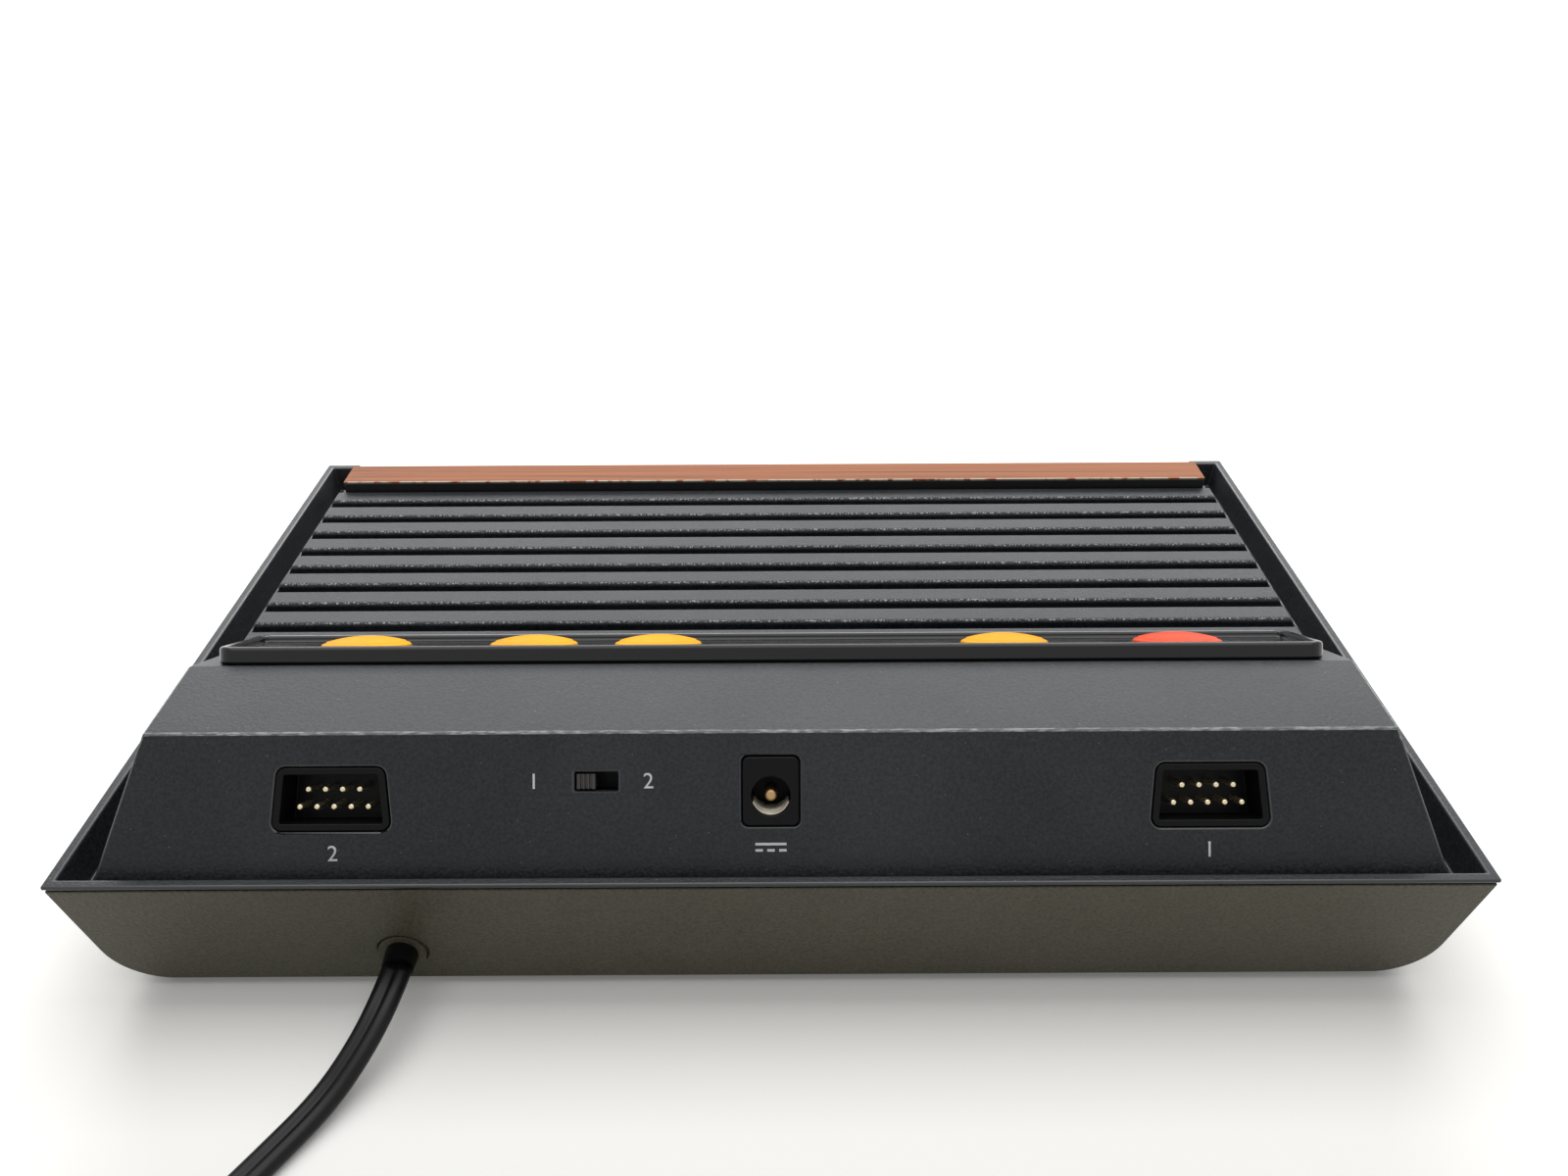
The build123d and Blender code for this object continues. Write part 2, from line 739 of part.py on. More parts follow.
board_seats = [Plane(origin=(x, y, main_board_top)) for x, y in board_places]
board_seats += [
    Plane(
        origin=slope_plane.from_local_coords((x, button_row, button_board_top - board_thickness)),
        z_dir=-slope_plane.z_dir,
    )
    for x in button_post_x
]
board_seats += [
    Plane(
        origin=panel_plane.from_local_coords((x, port_up, -rear_board_depth - board_thickness)),
        z_dir=-panel_plane.z_dir,
    )
    for x in (-rear_post_x, rear_post_x)
]
with BuildPart() as board_screws:
    for seat in board_seats:
        shank = board_thickness + board_screw_bite - seat_fit
        add(screw(seat, board_screw_head, board_screw_head_height, board_screw_diameter, shank))
keep(board_screws, "board_screws")

with BuildPart() as rubber_feet:
    with BuildSketch():
        with Locations(*foot_places):
            Circle(foot_diameter / 2)
    extrude(amount=foot_height)
    fillet(rubber_feet.edges().group_by(Axis.Z)[0], foot_height / 4)
keep(rubber_feet, "rubber_feet")

# Cord grommet in the rear wall
nose_start_y = half_depth(cord_exit_height + grommet_diameter / 2, 0)
cord_exit_y = nose_start_y + grommet_nose_length
flange_y = half_depth(cord_exit_height - grommet_flange / 2, case_wall) - grommet_fit
with BuildPart() as cord_grommet:
    with BuildSketch(Plane(origin=(cord_exit_x, 0, cord_exit_height), z_dir=(0, 0, 1))):
        with BuildLine():
            Polyline(
                (0, flange_y - grommet_flange_thick),
                (grommet_flange / 2, flange_y - grommet_flange_thick),
                (grommet_flange / 2, flange_y),
                (grommet_diameter / 2, flange_y),
                (grommet_diameter / 2, nose_start_y),
                (grommet_nose / 2, cord_exit_y),
                (0, cord_exit_y),
                close=True,
            )
        make_face()
    revolve(axis=Axis((cord_exit_x, 0, cord_exit_height), (0, 1, 0)))
keep(cord_grommet, "cord_grommet")


# A round tube along straight runs joined by arcs as large as the runs allow
def cord_tube(name, points, diameter):
    points = [Vector(point) for point in points]
    runs = [b - a for a, b in zip(points, points[1:])]
    radii = []
    for before, after in zip(runs, runs[1:]):
        half_turn = radians(before.get_angle(after)) / 2
        radii.append(cord_arc_share * min(before.length, after.length) / tan(half_turn))
    with BuildPart() as tube:
        with BuildLine() as line:
            FilletPolyline(*points, radius=radii)
        with BuildSketch(Plane(origin=points[0], z_dir=runs[0])):
            Circle(diameter / 2)
        sweep(path=line.wires()[0])
    length = line.wires()[0].length
    section = pi * diameter**2 / 4
    print(name, "radii", [round(r, 1) for r in radii], "length", round(length, 1),
          "volume ratio", round(tube.part.volume / (section * length), 4))
    keep(tube, name)


cord_points = [
    (cord_exit_x, cord_exit_y, cord_exit_height),
    (62.2, 81.5, 9.0),
    (64.8, 88.5, 6.0),
    (69.0, 95.5, 3.0),
    (75.0, 104.5, 2.5),
    (82.5, 117.0, 2.5),
    (90.0, 132.0, 3.7),
    (96.0, 147.0, 3.7),
]
cord_tube("av_cord", cord_points, cord_diameter)

# Coil: half turns that shrink by half a step each, a climb of one layer, and half turns that grow again
coil_low = cord_diameter / 2 + coil_lift
coil_high = coil_low + coil_step
coil_heading = (Vector(cord_points[-1]) - Vector(cord_points[-2])).normalized()
coil_out = Vector(coil_heading.Y, -coil_heading.X, 0)
coil_start = Vector(cord_points[-1]) + coil_heading * cord_diameter
coil_centre = coil_start - coil_out * coil_radius
coil_plane = Plane(origin=(coil_centre.X, coil_centre.Y, 0), x_dir=coil_out, z_dir=(0, 0, 1))


def on_coil(x, y, z):
    return coil_plane.from_local_coords((x, y, z))


with BuildPart() as av_cord_coil:
    with BuildLine() as coil_line:
        Line(on_coil(coil_radius, -cord_diameter, coil_low), on_coil(coil_radius, 0, coil_low))
        x = coil_radius
        side = 1
        for turn in range(coil_half_turns):
            radius = coil_radius - turn * coil_step / 2
            middle = x - side * radius
            ThreePointArc(
                on_coil(x, 0, coil_low),
                on_coil(middle, side * radius, coil_low),
                on_coil(middle - side * radius, 0, coil_low),
            )
            x = middle - side * radius
            side = -side
        radius = coil_radius - coil_half_turns * coil_step / 2
        climb_reach = (radius**2 + (coil_step / 2) ** 2) ** 0.5
        top = on_coil(x - side * radius, side * climb_reach, coil_low + coil_step / 2)
        climb = TangentArc(on_coil(x, 0, coil_low), top, tangent=coil_plane.y_dir * side)
        x -= 2 * side * radius
        TangentArc(top, on_coil(x, 0, coil_high), tangent=climb % 1)
        side = -side
        for turn in range(coil_half_turns - 1):
            radius += coil_step / 2
            middle = x - side * radius
            ThreePointArc(
                on_coil(x, 0, coil_high),
                on_coil(middle, side * radius, coil_high),
                on_coil(middle - side * radius, 0, coil_high),
            )
            x = middle - side * radius
            side = -side
        Line(on_coil(x, 0, coil_high), on_coil(x, cord_diameter, coil_high))
    with BuildSketch(Plane(origin=on_coil(coil_radius, -cord_diameter, coil_low), z_dir=coil_heading)):
        Circle(cord_diameter / 2)
    sweep(path=coil_line.wires()[0])
keep(av_cord_coil, "av_cord_coil")
coil_wire = coil_line.wires()[0]
samples = 900
neighbour_skip = 6 * cord_diameter
coil_points = [coil_wire @ (i / samples) for i in range(samples + 1)]
apart = int(samples * neighbour_skip / coil_wire.length)
least = min(
    (coil_points[i] - coil_points[j]).length
    for i in range(0, samples + 1, 2)
    for j in range(i + apart, samples + 1)
)
print("av_cord_coil length", round(coil_wire.length, 1), "least gap", round(least - cord_diameter, 2),
      "volume ratio",
      round(av_cord_coil.part.volume / (pi * cord_diameter**2 / 4 * coil_wire.length), 4))

# The cord's tail off the coil, its parting sleeve and the two leads, in the coil's own frame
tail_points = [
    (coil_radius, cord_diameter, coil_high),
    (38.8, 13.0, 9.1),
    (41.5, 22.0, 8.0),
    (46.0, 30.5, 5.6),
    (52.0, 38.0, sleeve_diameter / 2),
    (59.5, 44.0, sleeve_diameter / 2),
]
cord_tube("av_cord_tail", [on_coil(*point) for point in tail_points], cord_diameter)
tail_end = on_coil(*tail_points[-1])
tail_heading = (tail_end - on_coil(*tail_points[-2])).normalized()
sleeve_end = tail_end + tail_heading * sleeve_length
lead_side = Vector(tail_heading.Y, -tail_heading.X, 0) * (lead_spacing / 2)
with BuildPart() as cord_sleeve:
    with BuildSketch(Plane(origin=tail_end, z_dir=tail_heading)):
        Circle(sleeve_diameter / 2)
    extrude(amount=sleeve_length)
    fillet(cord_sleeve.edges(), sleeve_round)
keep(cord_sleeve, "cord_sleeve")

grip_radius = grip_diameter / 2
lead_routes = {
    "video": (
        sleeve_end + lead_side,
        [
            (74.0, 53.3, 3.4),
            (80.0, 54.5, 2.4),
            (85.5, 52.0, 1.8),
            (88.5, 46.5, 2.6),
            (88.6, 40.5, grip_radius),
            (88.8, 35.0, grip_radius),
        ],
    ),
    "audio": (
        sleeve_end - lead_side,
        [
            (72.5, 56.6, 3.2),
            (80.0, 60.5, 1.9),
            (89.0, 60.5, 1.6),
            (96.5, 56.5, 1.6),
            (100.5, 49.0, 2.6),
            (100.8, 41.0, grip_radius),
            (101.0, 34.5, grip_radius),
        ],
    ),
}
for name, (start, route) in lead_routes.items():
    points = [start] + [on_coil(*point) for point in route]
    cord_tube(f"{name}_lead", points, lead_diameter)
    heading = (points[-1] - points[-2]).normalized()
    turn_plane = Plane(origin=points[-1], x_dir=heading, z_dir=(0, 0, 1))
    plug_axis = Axis(points[-1], heading)
    with BuildPart() as grip:
        with BuildSketch(turn_plane):
            with BuildLine():
                Polyline(
                    (0, 0),
                    (0, grip_tail_diameter / 2),
                    (grip_taper, grip_radius),
                    (grip_length, grip_radius),
                    (grip_length, 0),
                    close=True,
                )
            make_face()
        revolve(axis=plug_axis)
    keep(grip, f"{name}_plug_grip")
    with BuildPart() as contact:
        with BuildSketch(turn_plane):
            with BuildLine():
                Polyline(
                    (grip_length, 0),
                    (grip_length, shell_diameter / 2),
                    (grip_length + shell_length, shell_diameter / 2),
                    (grip_length + shell_length, shell_bore / 2),
                    (grip_length + film_thickness, shell_bore / 2),
                    (grip_length + film_thickness, tip_diameter / 2),
                    (grip_length + tip_length - tip_diameter / 2, tip_diameter / 2),
                    (grip_length + tip_length, tip_diameter / 4),
                    (grip_length + tip_length, 0),
                    close=True,
                )
            make_face()
        revolve(axis=plug_axis)
    keep(contact, f"{name}_plug_contact")

# Tie: a flat band round the coil's turns on its far side
tie_low = coil_radius - coil_half_turns * coil_step / 2 - cord_diameter / 2 - tie_slack
tie_high = coil_radius + cord_diameter / 2 + tie_slack
tie_bottom = coil_lift - tie_slack
tie_top = coil_high + cord_diameter / 2 + tie_slack
with BuildPart() as cord_tie:
    with BuildSketch(Plane(origin=on_coil(-tie_width / 2, 0, 0), x_dir=coil_plane.y_dir, z_dir=coil_out)):
        with Locations(((tie_low + tie_high) / 2, (tie_bottom + tie_top) / 2)):
            RectangleRounded(
                tie_high - tie_low + 2 * tie_thick, tie_top - tie_bottom + 2 * tie_thick, tie_corner
            )
            RectangleRounded(
                tie_high - tie_low, tie_top - tie_bottom, tie_corner - tie_thick, mode=Mode.SUBTRACT
            )
    extrude(amount=tie_width)
keep(cord_tie, "cord_tie")
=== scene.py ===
import json
import math
from functools import partial

import bmesh
import bpy
import numpy as np
from mathutils import Matrix, Vector

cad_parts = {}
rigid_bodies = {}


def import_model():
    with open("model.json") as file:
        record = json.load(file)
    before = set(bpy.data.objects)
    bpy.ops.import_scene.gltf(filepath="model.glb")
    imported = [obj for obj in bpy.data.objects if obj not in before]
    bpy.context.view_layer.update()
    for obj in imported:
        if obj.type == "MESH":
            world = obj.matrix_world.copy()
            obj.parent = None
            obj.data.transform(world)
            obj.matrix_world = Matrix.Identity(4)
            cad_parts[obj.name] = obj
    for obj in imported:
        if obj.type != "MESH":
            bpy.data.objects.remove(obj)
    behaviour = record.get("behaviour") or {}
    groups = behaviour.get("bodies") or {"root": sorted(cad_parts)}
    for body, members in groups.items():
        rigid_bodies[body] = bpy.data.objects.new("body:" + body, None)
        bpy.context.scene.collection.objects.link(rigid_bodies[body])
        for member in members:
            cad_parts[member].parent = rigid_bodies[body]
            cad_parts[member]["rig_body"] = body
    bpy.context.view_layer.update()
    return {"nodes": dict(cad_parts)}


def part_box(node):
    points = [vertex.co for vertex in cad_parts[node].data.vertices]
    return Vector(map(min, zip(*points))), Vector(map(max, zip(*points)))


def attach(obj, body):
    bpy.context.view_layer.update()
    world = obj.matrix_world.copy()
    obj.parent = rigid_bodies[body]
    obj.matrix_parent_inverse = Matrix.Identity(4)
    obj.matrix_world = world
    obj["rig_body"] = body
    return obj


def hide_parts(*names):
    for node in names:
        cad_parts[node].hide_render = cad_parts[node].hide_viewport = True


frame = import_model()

mm = 0.001
nodes = frame["nodes"]
scene = bpy.context.scene
print("frame loaded:", len(nodes), "nodes")

# planes of the case that the added pieces lie on, in mm and degrees
caseShape = dict(rear=75.0, rimHeight=28.0, panelFoot=4.8, panelLean=32.2, hoodHeight=17.8, hoodTop=18.8,
                 hoodSlope=29.5, buttonRow=-15.25)
panelLean = math.radians(caseShape["panelLean"])
upPanel = np.array([0, -math.sin(panelLean), math.cos(panelLean)])
offPanel = np.array([0, math.cos(panelLean), math.sin(panelLean)])


def panelPoint(x, up, out):  # the rear panel's foot at this x, moved up along the panel and out from it
    foot = np.array([x, caseShape["rear"] - caseShape["panelFoot"], caseShape["rimHeight"]])
    return (foot + up * upPanel + out * offPanel) * mm


def slopeFrame(x):  # a button's foot, so far along the hood's slope from its top edge, and the slope's normal
    tilt = math.radians(caseShape["hoodSlope"])
    panelReach = caseShape["hoodHeight"] * math.tan(panelLean)
    topY = caseShape["rear"] - caseShape["panelFoot"] - panelReach - caseShape["hoodTop"]
    topEdge = np.array([x, topY, caseShape["rimHeight"] + caseShape["hoodHeight"]])
    alongSlope = np.array([0, math.cos(tilt), math.sin(tilt)])
    normal = np.array([0, -math.sin(tilt), math.cos(tilt)])
    return (topEdge + alongSlope * caseShape["buttonRow"]) * mm, normal


# colours and nodes

def hexColour(code):  # sRGB hex to linear
    parts = [int(code[i:i + 2], 16) / 255 for i in (1, 3, 5)]
    return [p / 12.92 if p <= 0.04045 else ((p + 0.055) / 1.055) ** 2.4 for p in parts] + [1.0]


def perMetre(size):  # texture scale whose features are about this many mm
    return 1 / (size * mm)


def setInputs(node, inputs):  # an input that is given a socket is linked, any other takes the value
    for key, value in inputs.items():
        if isinstance(value, bpy.types.NodeSocket):
            node.id_data.links.new(value, node.inputs[key])
        else:
            node.inputs[key].default_value = value


def addNode(tree, kind, inputs=(), out=0, stops=(), **settings):  # a node with its settings and links
    node = tree.nodes.new("ShaderNode" + kind)
    for key, value in settings.items():
        setattr(node, key, value)
    for spare in stops[2:]:  # a new ramp has two stops
        node.color_ramp.elements.new(0.5)
    for i, (position, code) in enumerate(stops):
        node.color_ramp.elements[i].position = position
        node.color_ramp.elements[i].color = hexColour(code)
    setInputs(node, inputs if isinstance(inputs, dict) else dict(enumerate(inputs)))
    return node.outputs[out]


def newMaterial(name):  # a material, its shader, and addNode for its own nodes
    material = bpy.data.materials.new(name)
    material.use_nodes = True
    tree = material.node_tree
    return material, tree.nodes["Principled BSDF"], partial(addNode, tree)


# ABS, injection moulded in a spark-eroded tool: satin charcoal with a fine even grain and a film of dust that
# lies unevenly, with pale specks painted on as glints where the ribs' rear edges turn over. The grain is
# drawn coarser than a tool's 0.1 mm, so that it shows. Noises are (size in mm, detail)
caseFinish = dict(ior=1.53, sheen=0.26, roughness=0.44, smoother=0.08, duller=0.1, depth=0.15, bump=0.6,
                  noises=dict(mottle=(9.0, 3.0), grain=(0.5, 4.0), haze=(38.0, 2.0), tips=(0.4, 2.0)),
                  mottleShare=0.15, deepTo=0.4, paleFrom=0.75,
                  dust="#8b8d90", dustGap=2.2, moteEdge=(0.06, 0.02), moteShare=0.6,
                  hazeEdge=(0.45, 0.75), hazeShare=0.04,
                  glintPaint="#c4c7ca", glintSpotEdge=(0.52, 0.66), glintPaintShare=0.85,
                  ribsRear=8.0, ribsLow=26.6, turnFrom=(0.2, 0.4), turnTo=(0.85, 0.6))


def makeCaseMoulding(name, deep, pale):
    s = caseFinish
    material, shader, add = newMaterial(name)
    where = add("TexCoord", out="Object")
    axes = add("SeparateXYZ", [where]).node.outputs
    facing = add("SeparateXYZ", [where.node.outputs["Normal"]], out="Y")
    noises = {key: add("TexNoise", {"Vector": where, "Scale": perMetre(size), "Detail": detail})
              for key, (size, detail) in s["noises"].items()}
    grain = noises["grain"]
    mixed = add("Math", [noises["mottle"], s["mottleShare"], grain], operation="MULTIPLY_ADD")
    plastic = add("ValToRGB", [mixed], stops=[(s["deepTo"], deep), (s["paleFrom"], pale)])

    fromMote = add("TexVoronoi", {"Vector": where, "Scale": perMetre(s["dustGap"])})
    motes = add("MapRange", [fromMote, *s["moteEdge"], 0.0, s["moteShare"]])
    film = add("MapRange", [noises["haze"], *s["hazeEdge"], 0.0, s["hazeShare"]])
    dust = add("Math", [motes, film], operation="MAXIMUM")
    dusty = add("Mix", {0: dust, 6: plastic, 7: hexColour(s["dust"])}, out=2, data_type="RGBA")

    # painted glints: pale specks in the base colour where the ribs' rear edges turn from the top towards the
    # wall
    ahead = add("Math", [axes["Y"], s["ribsRear"] * mm], operation="LESS_THAN")
    above = add("Math", [axes["Z"], s["ribsLow"] * mm], operation="GREATER_THAN")
    onRibs = add("Math", [ahead, above], operation="MULTIPLY")
    leavesTop = add("MapRange", [facing, *s["turnFrom"], 0.0, 1.0])
    meetsWall = add("MapRange", [facing, *s["turnTo"], 0.0, 1.0])
    turning = add("Math", [leavesTop, meetsWall], operation="MULTIPLY")
    onEdges = add("Math", [onRibs, turning], operation="MULTIPLY")
    glintSpotMask = add("MapRange", [noises["tips"], *s["glintSpotEdge"], 0.0, s["glintPaintShare"]])
    paintedGlint = add("Math", [onEdges, glintSpotMask], operation="MULTIPLY")

    low, high = s["roughness"] - s["smoother"], s["roughness"] + s["duller"]
    setInputs(shader, {
        "IOR": s["ior"], "Specular IOR Level": s["sheen"],
        "Base Color": add("Mix", {0: paintedGlint, 6: dusty, 7: hexColour(s["glintPaint"])}, out=2, data_type="RGBA"),
        "Roughness": add("MapRange", [grain, 0.0, 1.0, low, high]),
        "Normal": add("Bump", {"Height": grain, "Strength": s["bump"], "Distance": s["depth"] * mm})})
    return material


# the same ABS along a broken edge: shinier than the faces, with pale dashes painted on as glints along the
# hood's edges
edgeFinish = dict(ior=1.53, sheen=0.5, roughness=0.3, base="#282a2d", glintPaint="#9b9ea1", size=0.4, detail=2.0,
                  dash=1.8, dashEdge=(0.44, 0.64), dashShare=(0.15, 0.8), halfWide=107.0, highlightFrom=44.0,
                  depth=0.05, bump=0.5)


def makeEdgeMoulding():
    s = edgeFinish
    material, shader, add = newMaterial("absEdgePaintedGlints")
    where = add("TexCoord", out="Object")
    axes = add("SeparateXYZ", [where]).node.outputs
    stretched = add("Mapping", {"Vector": where, "Scale": (s["size"] / s["dash"], 1.0, 1.0)})
    speckled = {"Scale": perMetre(s["size"]), "Detail": s["detail"]}
    grain = add("TexNoise", {"Vector": where, **speckled})
    dashes = add("TexNoise", {"Vector": stretched, **speckled})
    # painted glints: pale dashes on the edges inside the rim and high on the hood
    fromMiddle = add("Math", [axes["X"]], operation="ABSOLUTE")
    inside = add("Math", [fromMiddle, s["halfWide"] * mm], operation="LESS_THAN")
    above = add("Math", [axes["Z"], s["highlightFrom"] * mm], operation="GREATER_THAN")
    highlightArea = add("Math", [inside, above], operation="MULTIPLY")
    share = add("MapRange", [dashes, *s["dashEdge"], *s["dashShare"]])
    paintedHighlight = add("Math", [share, highlightArea], operation="MULTIPLY")
    colours = {6: hexColour(s["base"]), 7: hexColour(s["glintPaint"])}
    setInputs(shader, {
        "IOR": s["ior"], "Specular IOR Level": s["sheen"], "Roughness": s["roughness"],
        "Base Color": add("Mix", {0: paintedHighlight, **colours}, out=2, data_type="RGBA"),
        "Normal": add("Bump", {"Height": grain, "Strength": s["bump"], "Distance": s["depth"] * mm})})
    return material


# polished black ABS: a hard mirror gloss, dulled here and there by dust and handling, with a painted
# highlight as a pale line on the far lip
bezelFinish = dict(ior=1.53, sheen=0.3, roughness=0.1, duller=0.16, base="#0e0e10", baseFrom=0.07,
                   dust="#3a3a3b", dustSize=1.6, dustTo=0.03, smear=14.0, smearDetail=4.0,
                   smearEdge=(0.35, 0.8), paintedLipHighlight="#a3a6a9", lipWide=1.2)


def makeGlossBlack(name, paintedHighlight):  # the second argument paints a highlight as a pale line on the far lip's edge
    s = bezelFinish
    material, shader, add = newMaterial(name)
    where = add("TexCoord", out="Object")
    dust = add("TexVoronoi", {"Vector": where, "Scale": perMetre(s["dustSize"])})
    smear = add("TexNoise", {"Vector": where, "Scale": perMetre(s["smear"]), "Detail": s["smearDetail"]})
    colour = add("ValToRGB", [dust], stops=[(s["dustTo"], s["dust"]), (s["baseFrom"], s["base"])])
    if paintedHighlight:
        # painted highlight: a pale line along the far lip's edge, set by position
        along = add("SeparateXYZ", [where], out="Y")
        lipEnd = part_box("control_bezel")[0].y + s["lipWide"] * mm
        onLip = add("Math", [along, lipEnd], operation="LESS_THAN")
        colour = add("Mix", {0: onLip, 6: colour, 7: hexColour(s["paintedLipHighlight"])}, out=2, data_type="RGBA")
    rough = add("MapRange", [smear, *s["smearEdge"], s["roughness"], s["roughness"] + s["duller"]])
    setInputs(shader, {"IOR": s["ior"], "Specular IOR Level": s["sheen"], "Base Color": colour,
                       "Roughness": rough})
    return material


# wood-grain film: a copper-brown print under satin lacquer, with a pale, torn line along its near edge that
# is partly the paper's cut edge and partly a painted highlight
filmFinish = dict(ior=1.4, sheen=0.25, roughness=0.5, grainLong=70.0, grainFine=0.9, detail=5.0, tangle=0.6,
                  shades=[(0.32, "#653617"), (0.46, "#8d4f24"), (0.7, "#9f5e30")],
                  edge="#bfb09c", edgeWide=0.4, edgeBreak=2.5, edgeDetail=2.0, tornEdge=(0.4, 0.5))


def makeWoodFilm():
    s = filmFinish
    material, shader, add = newMaterial("printedWoodFilm")
    where = add("TexCoord", out="Object")
    fine = perMetre(s["grainFine"])
    drawn = add("Mapping", {"Vector": where, "Scale": (perMetre(s["grainLong"]), fine, fine)})
    grain = add("TexNoise", {"Vector": drawn, "Scale": 1.0, "Detail": s["detail"], "Roughness": s["tangle"]})
    printed = add("ValToRGB", [grain], stops=s["shades"])
    # the near edge: partly the film's pale cut paper, partly a painted highlight
    along = add("SeparateXYZ", [where], out="Y")
    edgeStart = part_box("wood_film")[1].y - s["edgeWide"] * mm
    nearEdge = add("Math", [along, edgeStart], operation="GREATER_THAN")
    tear = add("TexNoise", {"Vector": where, "Scale": perMetre(s["edgeBreak"]), "Detail": s["edgeDetail"]})
    torn = add("MapRange", [tear, *s["tornEdge"], 0.0, 1.0])
    cutEdgeAndHighlight = add("Math", [nearEdge, torn], operation="MULTIPLY")
    setInputs(shader, {
        "IOR": s["ior"], "Specular IOR Level": s["sheen"], "Roughness": s["roughness"],
        "Base Color": add("Mix", {0: cutEdgeAndHighlight, 6: printed, 7: hexColour(s["edge"])}, out=2, data_type="RGBA")})
    return material


# plastics that differ in colour, gloss and grain alone; grain and its depth are in mm
plasticNoise = dict(detail=3.0, deepTo=0.3, paleFrom=0.75, smoother=0.85, duller=1.2, bump=0.4)
plastics = {
    # black ABS, moulded with a fine grain: even and near matt
    "blackAbs": dict(name="blackAbsMoulding", deep="#0d0d0e", pale="#17171a", roughness=0.4, grain=0.7,
                     depth=0.03),
    # coloured ABS from a polished tool: clear warm colour with a soft shine and no grain to see
    "orangeAbs": dict(name="orangeGlossAbs", deep="#f2a40a", pale="#f8b014", roughness=0.34, grain=12.0,
                      depth=0.001, ior=1.45, sheen=0.07),
    "redAbs": dict(name="redGlossAbs", deep="#e3431c", pale="#eb5027", roughness=0.34, grain=12.0,
                   depth=0.001, ior=1.45, sheen=0.1),
    # ABS knob, moulded with fine ridges: brown-black satin
    "knobAbs": dict(name="brownBlackAbsKnob", deep="#23211f", pale="#322e2b", roughness=0.4, grain=0.5,
                    depth=0.02),
    # glass-filled PBT of sockets and jack: the deepest black, hardly any shine
    "portPbt": dict(name="blackPbtMoulding", deep="#040405", pale="#0a0a0b", roughness=0.42, grain=0.5,
                    depth=0.02, sheen=0.12),
    # extruded soft PVC: black with a long soft highlight
    "cordPvc": dict(name="blackPvcJacket", deep="#040405", pale="#09090b", roughness=0.34, grain=1.2,
                    depth=0.02, sheen=0.2),
    # pressed rubber: flat dark grey
    "footRubber": dict(name="blackRubber", deep="#131313", pale="#1d1d1d", roughness=0.75, grain=0.6,
                       depth=0.05),
    # extruded nylon band: black satin
    "tieNylon": dict(name="blackNylonTie", deep="#101011", pale="#1a1a1b", roughness=0.42, grain=0.8,
                     depth=0.02),
    # soft PVC moulded over the plugs: strong colour, waxy shine
    "yellowPvc": dict(name="yellowPvcGrip", deep="#e0a910", pale="#efbc22", roughness=0.35, grain=1.0,
                      depth=0.02),
    "whitePvc": dict(name="whitePvcGrip", deep="#dedcd4", pale="#efede6", roughness=0.35, grain=1.0,
                     depth=0.02),
    # glass-epoxy board under solder mask: glossy green
    "boardFr4": dict(name="greenSolderMask", deep="#0d4a26", pale="#146034", roughness=0.35, grain=2.0,
                     depth=0.02),
    # PVC ribbon cable: dull grey
    "cableGrey": dict(name="greyFlatCable", deep="#8d8e90", pale="#a2a3a5", roughness=0.5, grain=1.3,
                      depth=0.05),
    # pad-printed ink: pale grey and matt
    "printInk": dict(name="paleGreyPadPrint", deep="#d3d6d9", pale="#e6e8ea", roughness=0.55, grain=0.4,
                     depth=0.005),
}


def makePlastic(name, deep, pale, roughness, grain, depth, ior=1.52, sheen=0.5):
    s = plasticNoise
    material, shader, add = newMaterial(name)
    where = add("TexCoord", out="Object")
    noise = add("TexNoise", {"Vector": where, "Scale": perMetre(grain), "Detail": s["detail"]})
    low, high = roughness * s["smoother"], roughness * s["duller"]
    setInputs(shader, {
        "IOR": ior, "Specular IOR Level": sheen,
        "Base Color": add("ValToRGB", [noise], stops=[(s["deepTo"], deep), (s["paleFrom"], pale)]),
        "Roughness": add("MapRange", [noise, 0.0, 1.0, low, high]),
        "Normal": add("Bump", {"Height": noise, "Strength": s["bump"], "Distance": depth * mm})})
    return material


# metals: drawing marks of this many mm part the roughness into smoother and duller
metalNoise = dict(detail=3.0, smoother=0.7, duller=1.4)
metals = {
    # gold flash over brass: pale warm glints
    "goldPlate": dict(name="goldPlatedBrass", colour="#d8cbab", roughness=0.34, marks=0.6),
    # brass without plating: dull and brown
    "bareBrass": dict(name="dulledBareBrass", colour="#a98a62", roughness=0.42, marks=0.6),
    # matt tin on a bent strip: soft pale grey
    "tinPlate": dict(name="mattTinPlate", colour="#c9c4b5", roughness=0.6, marks=0.6),
    # nickel on turned brass: bright, a little warm
    "nickelPlate": dict(name="nickelPlatedBrass", colour="#c9c6bf", roughness=0.24, marks=0.6),
    # zinc on steel screws: cool satin grey
    "zincSteel": dict(name="zincPlatedSteel", colour="#b7b8ba", roughness=0.34, marks=0.8),
    # drawn aluminium can: smooth and bright
    "canAluminium": dict(name="drawnAluminiumCan", colour="#c4c5c8", roughness=0.3, marks=0.8),
}


def makeMetal(name, colour, roughness, marks):
    s = metalNoise
    material, shader, add = newMaterial(name)
    where = add("TexCoord", out="Object")
    noise = add("TexNoise", {"Vector": where, "Scale": perMetre(marks), "Detail": s["detail"]})
    rough = add("MapRange", [noise, 0.0, 1.0, roughness * s["smoother"], roughness * s["duller"]])
    setInputs(shader, {"Metallic": 1.0, "Base Color": hexColour(colour), "Roughness": rough})
    return material


